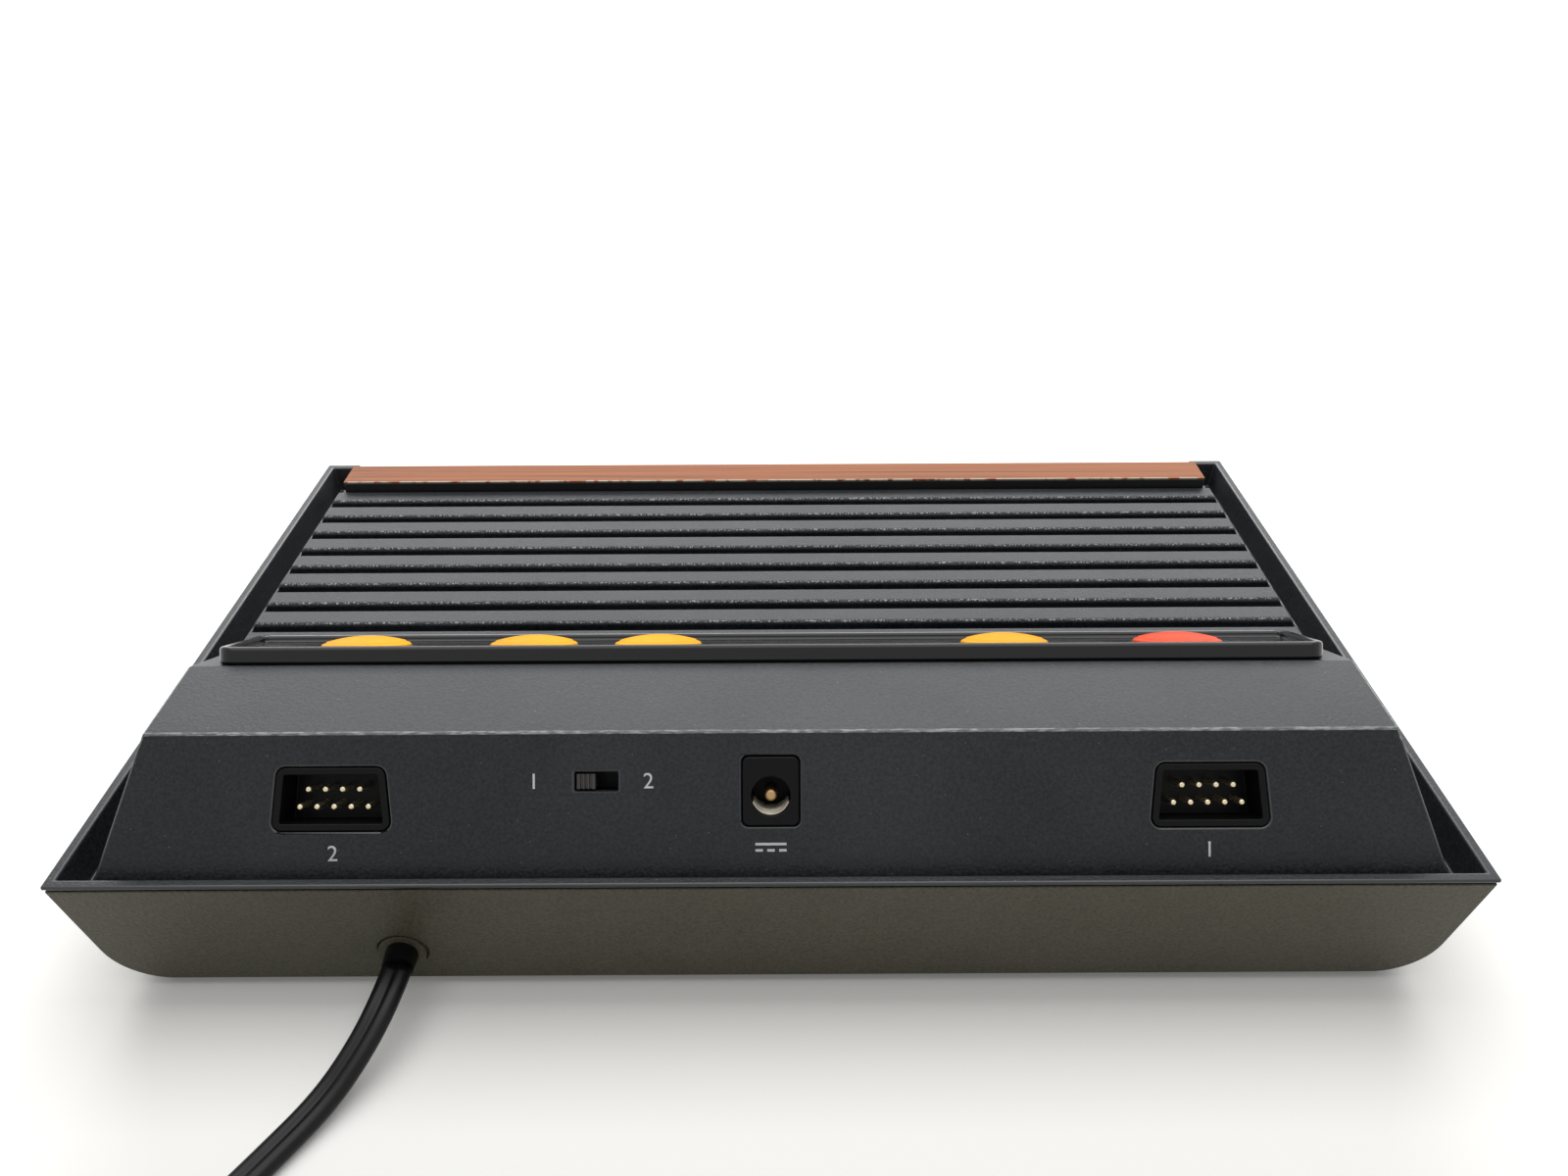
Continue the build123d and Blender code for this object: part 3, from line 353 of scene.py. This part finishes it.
finishes = {
    "caseMoulding": makeCaseMoulding("charcoalAbsMoulding", "#0a0b0d", "#282b30"),
    # the tub: the same ABS, with the floor's warm bounce light painted in as an olive tint
    "tubMoulding": makeCaseMoulding("tubAbsPaintedBounce", "#3e3b2e", "#575342"),
    "caseEdge": makeEdgeMoulding(),
    "glossBlack": makeGlossBlack("polishedBlackAbs", False),
    "glossLip": makeGlossBlack("blackAbsPaintedLipHighlight", True),
    "woodFilm": makeWoodFilm(),
    **{look: makePlastic(**settings) for look, settings in plastics.items()},
    **{look: makeMetal(**settings) for look, settings in metals.items()},
}
print("finishes made:", len(finishes))

# CAD nodes that stay as they are, by finish
plungers = [node for node in nodes if node.endswith("_plunger")]
plainNodes = {
    "woodFilm": ["wood_film"],
    "goldPlate": ["port_one_pins", "port_two_pins"],
    "bareBrass": ["jack_pin"],
    "portPbt": ["slide_body"],
    "blackAbs": ["key_bodies", "processor", "regulator", *plungers],
    "boardFr4": ["button_board", "rear_board", "main_board"],
    "canAluminium": ["capacitors"],
    "cableGrey": ["rear_cable", "button_cable"],
    "zincSteel": ["case_screws", "board_screws"],
    "footRubber": ["rubber_feet"],
    "cordPvc": ["cord_sleeve"],
    "nickelPlate": ["video_plug_contact", "audio_plug_contact"],
}
for look, dressed in plainNodes.items():
    for node in dressed:
        nodes[node].data.materials.clear()
        nodes[node].data.materials.append(finishes[look])


def addPiece(mesh, body, node, *replaced):  # a finished piece rides a body and hides the nodes it replaces; node is not used
    piece = bpy.data.objects.new(mesh.name, mesh)
    scene.collection.objects.link(piece)
    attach(piece, body)
    if replaced:
        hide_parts(*replaced)
    return piece


# mouldings: the CAD shape with its loose triangles joined and its sharp edges broken, lengths in mm, angles
# in degrees; the second finish is for the broken edges
mouldEdges = dict(merge=0.002, flat=0.6, sharpFrom=35, brokenFrom=38, segments=3)
mouldings = {
    "upper_case": dict(edge=0.35, looks=("caseMoulding", "caseEdge")),
    "lower_case": dict(edge=0.3, looks=("tubMoulding", "tubMoulding")),
    "control_bezel": dict(edge=0.6, looks=("glossBlack", "glossLip")),
    "front_trim_bar": dict(edge=0.2, looks=("blackAbs", "blackAbs")),
    "port_one_housing": dict(edge=0.15, looks=("portPbt", "portPbt")),
    "port_two_housing": dict(edge=0.15, looks=("portPbt", "portPbt")),
    "jack_body": dict(edge=0.2, looks=("portPbt", "portPbt")),
    "slide_knob": dict(edge=0.08, looks=("knobAbs", "knobAbs")),
}


def makeMoulding(node, edge, looks):
    s = mouldEdges
    mesh = nodes[node].data.copy()
    mesh.name = node + "Moulding"
    work = bmesh.new()
    work.from_mesh(mesh)
    bmesh.ops.remove_doubles(work, verts=work.verts, dist=s["merge"] * mm)
    bmesh.ops.dissolve_limit(work, angle_limit=math.radians(s["flat"]), verts=work.verts, edges=work.edges)
    work.to_mesh(mesh)
    work.free()
    mesh.materials.clear()
    for look in looks:
        mesh.materials.append(finishes[look])
    mesh.polygons.foreach_set("material_index", np.zeros(len(mesh.polygons), np.int32))
    mesh.polygons.foreach_set("use_smooth", np.ones(len(mesh.polygons), bool))
    mesh.set_sharp_from_angle(angle=math.radians(s["sharpFrom"]))
    piece = addPiece(mesh, nodes[node]["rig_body"], node, node)
    bevel = piece.modifiers.new("edges", "BEVEL")
    bevel.width = edge * mm
    bevel.segments = s["segments"]
    bevel.limit_method = "ANGLE"
    bevel.angle_limit = math.radians(s["brokenFrom"])
    bevel.use_clamp_overlap = False
    bevel.material = 1
    normals = piece.modifiers.new("normals", "WEIGHTED_NORMAL")
    normals.keep_sharp = True


for node, settings in mouldings.items():
    makeMoulding(node, **settings)
print("mouldings made:", len(mouldings))


# surfaces from rings of points

def ringFaces(rings, sides, looped=False):  # quads from each ring to the next, and end caps if not looped
    ring = np.arange(sides)
    step = np.roll(ring, -1)
    here = np.arange(rings)[:, None] * sides
    after = np.roll(here, -1, axis=0)
    quads = np.stack([here + ring, here + step, after + step, after + ring], -1)
    if looped:
        return quads.reshape(-1, 4).tolist()
    caps = [ring[::-1].tolist(), (here[-1] + ring).tolist()]
    return quads[:-1].reshape(-1, 4).tolist() + caps


def closedMesh(name, points, faces, looks, smooth=True, sharpFrom=None):  # all faces turned outwards
    mesh = bpy.data.meshes.new(name)
    mesh.from_pydata(points.reshape(-1, 3).tolist(), [], faces)
    work = bmesh.new()
    work.from_mesh(mesh)
    bmesh.ops.recalc_face_normals(work, faces=work.faces)
    work.to_mesh(mesh)
    work.free()
    mesh.polygons.foreach_set("use_smooth", np.full(len(mesh.polygons), smooth))
    if sharpFrom:
        mesh.set_sharp_from_angle(angle=math.radians(sharpFrom))
    for look in looks:
        mesh.materials.append(finishes[look])
    return mesh


sharpEdge = 40  # degrees, from which an edge of a turned piece or of the tie looks sharp
poleRadius = 0.02  # mm, of the small face that closes a turned piece on its axis


def latheMesh(name, profile, foot, axis, sides, *looks):  # a (radius, height) profile in mm turned on an axis
    axis = np.array(axis, float) / np.linalg.norm(axis)
    first = np.cross(axis, [1.0, 0, 0])  # no axis here runs along x
    first /= np.linalg.norm(first)
    second = np.cross(axis, first)
    angle = np.linspace(0, 2 * math.pi, sides, endpoint=False)
    around = np.cos(angle)[:, None] * first + np.sin(angle)[:, None] * second
    profile = np.array(profile, float) * mm
    points = np.array(foot) + profile[:, None, 1, None] * axis + profile[:, None, 0, None] * around[None]
    return closedMesh(name, points, ringFaces(len(profile), sides), looks, sharpFrom=sharpEdge)


# buttons: stem, flange and skirt, a shoulder that is a quarter of an ellipse, and a dome that is part of a
# sphere; heights are off the slope, in mm
buttonShape = dict(radius=8.0, flange=9.5, flangeLow=-3.8, flangeTop=-2.6, stem=2.5, stemLow=-7.8, edge=2.7,
                   crown=1.3, shoulder=0.7, shoulderHigh=0.525, shoulderSteps=7, domeSteps=22, sides=96)
buttonLook = {"power_button": "orangeAbs", "level_button_one": "orangeAbs", "level_button_two": "orangeAbs",
              "select_button": "orangeAbs", "start_button": "redAbs"}


def buttonProfile():
    s = buttonShape
    skirt = [(poleRadius, s["stemLow"]), (s["stem"], s["stemLow"]), (s["stem"], s["flangeLow"]),
             (s["flange"], s["flangeLow"]), (s["flange"], s["flangeTop"]), (s["radius"], s["flangeTop"])]
    turn = np.linspace(0, math.pi / 2, s["shoulderSteps"])
    topRadius = s["radius"] - s["shoulder"]
    shoulder = np.stack([topRadius + s["shoulder"] * np.cos(turn),
                         s["edge"] - s["shoulderHigh"] + s["shoulderHigh"] * np.sin(turn)], 1)
    domeRadius = (s["radius"] ** 2 + s["crown"] ** 2) / (2 * s["crown"])
    across = np.linspace(topRadius, poleRadius, s["domeSteps"])[1:]
    rise = np.sqrt(domeRadius ** 2 - across ** 2) - domeRadius
    dome = np.stack([across, np.maximum(s["edge"] + s["crown"] + rise, s["edge"])], 1)
    return np.concatenate([skirt, shoulder, dome])


for node, look in buttonLook.items():
    low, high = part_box(node)
    foot, normal = slopeFrame((low.x + high.x) / 2 / mm)
    mesh = latheMesh(node + "Cap", buttonProfile(), foot, normal, buttonShape["sides"], look)
    addPiece(mesh, node, node, node)
print("buttons made:", len(buttonLook))

# the jack's sprung contact: a strip bent to the lower half of the bore, its mouth flared so that its
# thickness grows by a cosine from the strip's own at the ends to the flare's at the middle, seen as a pale
# crescent; sizes in mm, spread in radians
jackContact = dict(up=10.6, radius=3.05, thick=0.22, flare=0.5, mouth=1.1, spread=1.25, front=0.25, back=6.5,
                   steps=28)


def makeJackContact():
    s = jackContact
    angle = np.linspace(-s["spread"], s["spread"], s["steps"])
    inner = s["radius"] - s["thick"] - s["flare"] * np.cos(angle / s["spread"] * math.pi / 2)
    outer = np.full(s["steps"], s["radius"])
    radius = np.stack([outer, outer, inner, inner, outer - s["thick"] / 2], 1)
    deep = np.array([s["front"], s["back"], s["back"], s["front"] + s["mouth"], s["front"]])
    across = (radius * np.sin(angle)[:, None])[..., None] * np.array([1.0, 0, 0])
    below = (radius * np.cos(angle)[:, None])[..., None] * upPanel
    points = panelPoint(0, s["up"], 0) + mm * (across - below - deep[None, :, None] * offPanel)
    faces = ringFaces(s["steps"], len(deep))
    mesh = closedMesh("jackContact", points, faces, ["tinPlate"], smooth=False)
    addPiece(mesh, "housing", "jack_spring", "jack_spring")


makeJackContact()
print("jack contact made")

# cords: points given one by one, in mm, along the route of the part's own source, with the heights taken down
# so that the flat cord lies on the floor
cordRoute = dict(diameter=5.0, lobe=2.9, lobePoints=15, exitPoint=(61.5, 75.529, 10.0), coilRadius=38.5,
                 coilStep=5.5, coilLow=2.7, coilLayer=3.2, halfTurns=8, pointsPerHalfTurn=8, length=1.52,
                 splineOrder=3, splineSteps=10, closest=0.001)
freePoints = [cordRoute["exitPoint"], (62.2, 81.5, 9.0), (64.8, 88.5, 6.0), (69.0, 95.5, 2.6),
              (75.0, 104.5, 1.5), (82.5, 117.0, 1.5), (90.0, 132.0, 2.7), (96.0, 147.0, 2.7)]
tailPoints = [(38.5, 5.0, 5.9), (38.8, 13.0, 5.9), (41.5, 22.0, 5.2), (46.0, 30.5, 4.2), (52.0, 38.0, 3.6),
              (59.5, 44.0, 3.6)]
leadShape = dict(diameter=2.6, spacing=3.4, sleeve=12.0, sides=18)
leadRoutes = {
    "video_lead": [(74.0, 53.3, 3.4), (80.0, 54.5, 2.4), (85.5, 52.0, 1.8), (88.5, 46.5, 2.6),
                   (88.6, 40.5, 5.0), (88.8, 35.0, 5.0)],
    "audio_lead": [(72.5, 56.6, 3.2), (80.0, 60.5, 1.9), (89.0, 60.5, 1.6), (96.5, 56.5, 1.6),
                   (100.5, 49.0, 2.6), (100.8, 41.0, 5.0), (101.0, 34.5, 5.0)],
}

# the coil's own frame: out from the coil's middle, along the cord as it arrives, and up
arrive = np.array(freePoints[-1]) - np.array(freePoints[-2])
arrive = arrive / np.linalg.norm(arrive)
outward = np.array([arrive[1], -arrive[0], 0])
coilMiddle = np.array(freePoints[-1]) + arrive * cordRoute["diameter"] - outward * cordRoute["coilRadius"]
coilMiddle[2] = 0
coilAxes = np.stack([outward, arrive, np.array([0, 0, 1.0])])


def onCoil(local):  # the coil's middle plus each point's parts along the coil's axes
    return coilMiddle + np.atleast_2d(np.array(local, float)) @ coilAxes


def coilPoints():  # half turns that shrink by half a step each, climb one layer, and grow again
    s = cordRoute
    x, side, found = s["coilRadius"], 1, []
    radii = [s["coilRadius"] - k * s["coilStep"] / 2 for k in range(s["halfTurns"] + 1)]
    radii += radii[-2:0:-1]
    turn = np.linspace(0, math.pi, s["pointsPerHalfTurn"] + 1)
    between = (turn[:-1] + turn[1:]) / 2
    for k, radius in enumerate(radii):
        middle = x - side * radius
        climb = np.clip(k - s["halfTurns"] + turn / math.pi, 0, 1)
        height = s["coilLow"] + s["coilLayer"] * climb
        reach = radius / math.cos(math.pi / 2 / s["pointsPerHalfTurn"])  # the spline cuts inside its points
        found.append(np.stack([middle + side * reach * np.cos(between), side * reach * np.sin(between),
                               (height[:-1] + height[1:]) / 2], 1))
        x, side = middle - side * radius, -side
    return np.concatenate(found)


def splineLine(points, name):  # points read from the route's own NURBS line, in metres
    curve = bpy.data.curves.new(name, "CURVE")
    curve.dimensions = "3D"
    curve.resolution_u = cordRoute["splineSteps"]
    spline = curve.splines.new("NURBS")
    spline.points.add(len(points) - 1)
    spline.points.foreach_set("co", np.c_[points * mm, np.ones(len(points))].astype(np.float32).ravel())
    spline.order_u = cordRoute["splineOrder"]
    spline.use_endpoint_u = True
    holder = bpy.data.objects.new(name, curve)
    scene.collection.objects.link(holder)
    bpy.context.view_layer.update()
    line = bpy.data.meshes.new_from_object(holder)
    found = np.zeros(len(line.vertices) * 3, np.float32)
    line.vertices.foreach_get("co", found)
    bpy.data.objects.remove(holder)
    found = found.reshape(-1, 3).astype(float)
    stepLength = np.linalg.norm(np.diff(found, axis=0), axis=1)
    return found[np.r_[True, stepLength > cordRoute["closest"] * mm]]


def tubeMesh(name, line, section):  # a section of (across, up) in mm carried along a line, across kept level
    along = np.gradient(line, axis=0)
    along /= np.linalg.norm(along, axis=1)[:, None]
    across = np.cross(along, [0, 0, 1.0])
    across /= np.linalg.norm(across, axis=1)[:, None]
    up = np.cross(across, along)
    section = np.array(section) * mm
    points = line[:, None] + section[None, :, :1] * across[:, None] + section[None, :, 1:] * up[:, None]
    return closedMesh(name, points, ringFaces(len(line), len(section)), ["cordPvc"])


def twinSection(width, lobe, count):  # two round lobes side by side that meet in a groove
    radius = lobe / 2
    middle = width / 2 - radius
    meet = math.acos(middle / radius)
    angle = np.linspace(meet - math.pi, math.pi - meet, count)
    right = np.stack([middle + radius * np.cos(angle), radius * np.sin(angle)], 1)
    return np.concatenate([right, -right[1:-1]])


def roundSection(diameter, count):  # a circle as evenly spaced points
    angle = np.linspace(0, 2 * math.pi, count, endpoint=False)
    return np.stack([np.cos(angle), np.sin(angle)], 1) * diameter / 2


mainPoints = np.concatenate([np.array(freePoints), onCoil(coilPoints()), onCoil(tailPoints)])
mainLine = splineLine(mainPoints, "avCordRoute")
twin = twinSection(cordRoute["diameter"], cordRoute["lobe"], cordRoute["lobePoints"])
avCord = addPiece(tubeMesh("avCord", mainLine, twin), "housing", "av_cord",
                  "av_cord", "av_cord_coil", "av_cord_tail")

# tie: a flat nylon band drawn close round the turns on the coil's far side, as a rectangle with round
# corners, (along the radius, height) in mm
tieShape = dict(inner=13.6, outer=41.4, low=0.9, high=7.6, thick=0.8, wide=4.0, corner=2.2, steps=6)


def tieRing(grow):  # four quarter circles, one round each corner's middle, grown by the band's thickness
    s = tieShape
    left, right = s["inner"] + s["corner"], s["outer"] - s["corner"]
    bottom, top = s["low"] + s["corner"], s["high"] - s["corner"]
    middles = np.array([(right, top), (left, top), (left, bottom), (right, bottom)])
    quarters = np.arange(len(middles)) * math.pi / 2
    angle = quarters[:, None] + np.linspace(0, math.pi / 2, s["steps"])
    circle = np.stack([np.cos(angle), np.sin(angle)], -1)
    return (middles[:, None] + (s["corner"] + grow) * circle).reshape(-1, 2)


def makeTie():  # inner and outer ring at the band's two edges, joined in a loop
    s = tieShape
    inner, outer, half = tieRing(0), tieRing(s["thick"]), s["wide"] / 2
    rings = [(inner, -half), (inner, half), (outer, half), (outer, -half)]
    points = np.concatenate([onCoil(np.c_[np.full(len(ring), side), ring]) for ring, side in rings])
    faces = ringFaces(len(rings), len(inner), looped=True)
    mesh = closedMesh("cordTie", points * mm, faces, ["tieNylon"], sharpFrom=sharpEdge)
    return addPiece(mesh, "housing", "cord_tie", "cord_tie")


# cord grommet: a bush of the tub's own plastic that fills its hole, and a black nose no wider than the cord,
# as radius and distance along the cord in mm
grommetShape = dict(flange=5.4, flangeThick=1.8, bush=4.0, nose=2.75, tip=2.6, noseLength=3.0, sides=64)


def makeGrommet():
    s = grommetShape
    low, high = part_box("cord_grommet")
    length = (high.y - low.y) / mm
    wall = length - s["noseLength"]
    profile = [(poleRadius, 0), (s["flange"], 0), (s["flange"], s["flangeThick"]),
               (s["bush"], s["flangeThick"]), (s["bush"], wall), (s["nose"], wall), (s["tip"], length),
               (poleRadius, length)]
    foot = ((low.x + high.x) / 2, low.y, (low.z + high.z) / 2)
    mesh = latheMesh("cordGrommet", profile, foot, (0, 1, 0), s["sides"], "tubMoulding", "cordPvc")
    middle = np.zeros(len(mesh.polygons) * 3, np.float32)
    mesh.polygons.foreach_get("center", middle)
    inNose = middle[1::3] > low.y + (wall + s["noseLength"] / 4) * mm
    mesh.polygons.foreach_set("material_index", inNose.astype(np.int32))
    return addPiece(mesh, "housing", "cord_grommet", "cord_grommet")


cordTie = makeTie()
cordGrommet = makeGrommet()

# leads part side by side at the end of the sleeve that follows the cord's tail
tailEnd = onCoil(tailPoints[-1])[0]
tailHeading = tailEnd - onCoil(tailPoints[-2])[0]
tailHeading = tailHeading / np.linalg.norm(tailHeading)
sleeveEnd = tailEnd + tailHeading * leadShape["sleeve"]
leadSide = np.array([tailHeading[1], -tailHeading[0], 0]) * leadShape["spacing"] / 2

# phono plugs: a grip that tapers to the lead, with finger rings cut as sine squared, as radius and distance
# along the plug in mm
gripShape = dict(tail=3.0, radius=5.0, taper=7.0, length=26.0, ringStart=10.0, ringPitch=2.2, rings=6,
                 ringDepth=0.45, steps=131, sides=48)
plugLook = {"video_lead": ("video_plug", "yellowPvc", 1), "audio_lead": ("audio_plug", "whitePvc", -1)}


def gripProfile():
    s = gripShape
    along = np.linspace(0, s["length"], s["steps"])
    radius = np.interp(along, [0, s["taper"], s["length"]], [s["tail"], s["radius"], s["radius"]])
    phase = (along - s["ringStart"]) / s["ringPitch"]
    inRings = (phase > 0) & (phase < s["rings"])
    radius = radius - np.where(inRings, s["ringDepth"] * np.sin(math.pi * phase) ** 2, 0)
    return np.concatenate([[(poleRadius, 0)], np.stack([radius, along], 1), [(poleRadius, s["length"])]])


for node, (plug, look, side) in plugLook.items():
    points = np.concatenate([[sleeveEnd + side * leadSide], onCoil(leadRoutes[node])])
    line = splineLine(points, node + "Route")
    section = roundSection(leadShape["diameter"], leadShape["sides"])
    lead = addPiece(tubeMesh(node + "Cord", line, section), "housing", node, node)
    gripMesh = latheMesh(plug + "Grip", gripProfile(), points[-1] * mm, points[-1] - points[-2],
                         gripShape["sides"], look)
    grip = addPiece(gripMesh, "housing", plug + "_grip", plug + "_grip")
print("cords made:", 1 + len(plugLook))

# printed marks on the rear panel: plain numbers as (text, x of the case, distance up the panel) and the bars
# of a direct-current sign as (x, distance up, width), in mm; digitShare is a digit's height over its font's
# size
markSet = dict(height=2.5, digitShare=0.7, thick=0.03, barHigh=0.4, merge=0.0005,
               numbers=[("2", 70.3, 1.6), ("1", -70.3, 1.6), ("1", 38.0, 13.0), ("2", 19.6, 13.0)],
               bars=[(0.0, 2.9, 5.0), (-1.9, 1.9, 1.2), (0.0, 1.9, 1.2), (1.9, 1.9, 1.2)])


def numberMesh(text):  # a digit as a thin solid, flat at the origin
    curve = bpy.data.curves.new("number", "FONT")
    curve.body = text
    curve.size = markSet["height"] * mm / markSet["digitShare"]
    curve.align_x = "CENTER"
    curve.align_y = "CENTER"
    curve.extrude = markSet["thick"] * mm
    holder = bpy.data.objects.new("number", curve)
    scene.collection.objects.link(holder)
    bpy.context.view_layer.update()
    mesh = bpy.data.meshes.new_from_object(holder)
    bpy.data.objects.remove(holder)
    return mesh


def barMesh(wide):  # a thin box, its eight corners half its size from the origin
    half = np.array([wide / 2, markSet["barHigh"] / 2, markSet["thick"]]) * mm
    corners = np.array([(i, j, k) for i in (-1, 1) for j in (-1, 1) for k in (-1, 1)]) * half
    mesh = bpy.data.meshes.new("bar")
    mesh.from_pydata(corners.tolist(), [], [(0, 1, 3, 2), (4, 6, 7, 5), (0, 4, 5, 1), (2, 3, 7, 6),
                                            (0, 2, 6, 4), (1, 5, 7, 3)])
    return mesh


def makeMarks():  # each mark is turned to face out of the panel, its own x to the right as seen from behind
    flat = [(numberMesh(text), x, up) for text, x, up in markSet["numbers"]]
    flat += [(barMesh(wide), x, up) for x, up, wide in markSet["bars"]]
    work = bmesh.new()
    for mesh, x, up in flat:
        onPanel = Matrix(((-1, 0, 0), upPanel, offPanel)).transposed().to_4x4()
        onPanel.translation = Vector(panelPoint(x, up, markSet["thick"]))
        mesh.transform(onPanel)
        work.from_mesh(mesh)
    bmesh.ops.remove_doubles(work, verts=work.verts, dist=markSet["merge"] * mm)
    bmesh.ops.recalc_face_normals(work, faces=work.faces)
    marks = bpy.data.meshes.new("panelMarks")
    work.to_mesh(marks)
    work.free()
    marks.materials.append(finishes["printInk"])
    addPiece(marks, "housing", "upper_case")


makeMarks()
print("marks made:", len(markSet["numbers"]) + len(markSet["bars"]))

# floor and background: matt white paper, lifted to full white where it lies far off; near the object it
# keeps the shadow. Distances are in metres
white = "#ffffff"
stageSet = dict(size=6.0, paper="#f8f7f4", roughness=0.9, sheen=0.1, lift=0.12, liftFrom=0.35, liftTo=1.4,
                worldLight=0.14)


def seenDirectly(add):  # 1 for what the camera sees, also in a mirror or through glass
    rays = add("LightPath").node.outputs
    mirrored = add("Math", [rays["Is Glossy Ray"], rays["Is Transmission Ray"]], operation="MAXIMUM")
    return add("Math", [rays["Is Camera Ray"], mirrored], operation="MAXIMUM")


def makeFloor():
    s = stageSet
    material, shader, add = newMaterial("palePaperSweep")
    where = add("TexCoord", out="Object")
    away = add("VectorMath", [where], out="Value", operation="LENGTH")
    lift = add("MapRange", [away, s["liftFrom"], s["liftTo"], s["lift"], 1.0])
    setInputs(shader, {
        "Base Color": hexColour(s["paper"]), "Roughness": s["roughness"], "Specular IOR Level": s["sheen"],
        "Emission Color": hexColour(white),
        "Emission Strength": add("Math", [seenDirectly(add), lift], operation="MULTIPLY")})
    half = s["size"] / 2
    corners = [(-half, -half, 0), (half, -half, 0), (half, half, 0), (-half, half, 0)]
    mesh = bpy.data.meshes.new("floor")
    mesh.from_pydata(corners, [], [(0, 1, 2, 3)])
    mesh.materials.append(material)
    floor = bpy.data.objects.new("floor", mesh)
    scene.collection.objects.link(floor)


def makeWorld():
    world = bpy.data.worlds.new("studio")
    scene.world = world
    world.use_nodes = True
    add = partial(addNode, world.node_tree)
    strength = add("MapRange", [seenDirectly(add), 0.0, 1.0, stageSet["worldLight"], 1.0])
    setInputs(world.node_tree.nodes["Background"], {"Color": hexColour(white), "Strength": strength})


# lamps: places and sizes in metres, power in watts, all turned to one point
lampAim = (0, 0, 0.02)
lamps = [
    dict(name="farSoftbox", at=(0.0, -1.0, 0.66), size=(1.8, 0.42), power=12.8),
    dict(name="topSoftbox", at=(0.0, -0.35, 1.2), size=(1.8, 1.0), power=13.0),
    dict(name="overSoftbox", at=(0.0, 0.4, 1.4), size=(1.6, 0.8), power=5.0),
]


def makeLamp(name, at, size, power):
    light = bpy.data.lights.new(name, "AREA")
    light.shape = "RECTANGLE"
    light.size, light.size_y = size
    light.energy = power
    lamp = bpy.data.objects.new(name, light)
    lamp.location = at
    lamp.rotation_euler = (Vector(lampAim) - Vector(at)).to_track_quat("-Z", "Y").to_euler()
    lamp.visible_camera = False
    scene.collection.objects.link(lamp)


# camera: behind and above the console, at the photograph's place, pitch and roll, in mm and degrees
cameraSet = dict(at=(-2.3, 219.4, 171.8), pitch=31.7, roll=0.3, lens=29.0, sensor=36.0, nearest=10.0)


def makeCamera():
    s = cameraSet
    pitch, roll = math.radians(s["pitch"]), math.radians(s["roll"])
    right = Vector((-1, 0, 0))
    up = Vector((0, -math.sin(pitch), math.cos(pitch)))
    tiltedRight = right * math.cos(roll) - up * math.sin(roll)
    tiltedUp = right * math.sin(roll) + up * math.cos(roll)
    turned = Matrix((tiltedRight, tiltedUp, tiltedRight.cross(tiltedUp))).transposed().to_4x4()
    turned.translation = Vector(s["at"]) * mm
    camera = bpy.data.cameras.new("camera")
    camera.lens = s["lens"]
    camera.sensor_width = s["sensor"]
    camera.sensor_fit = "HORIZONTAL"
    camera.clip_start = s["nearest"] * mm
    holder = bpy.data.objects.new("camera", camera)
    holder.matrix_world = turned
    scene.collection.objects.link(holder)
    scene.camera = holder


makeFloor()
makeWorld()
for settings in lamps:
    makeLamp(**settings)
makeCamera()
scene.view_settings.view_transform = "Standard"
print("stage made")
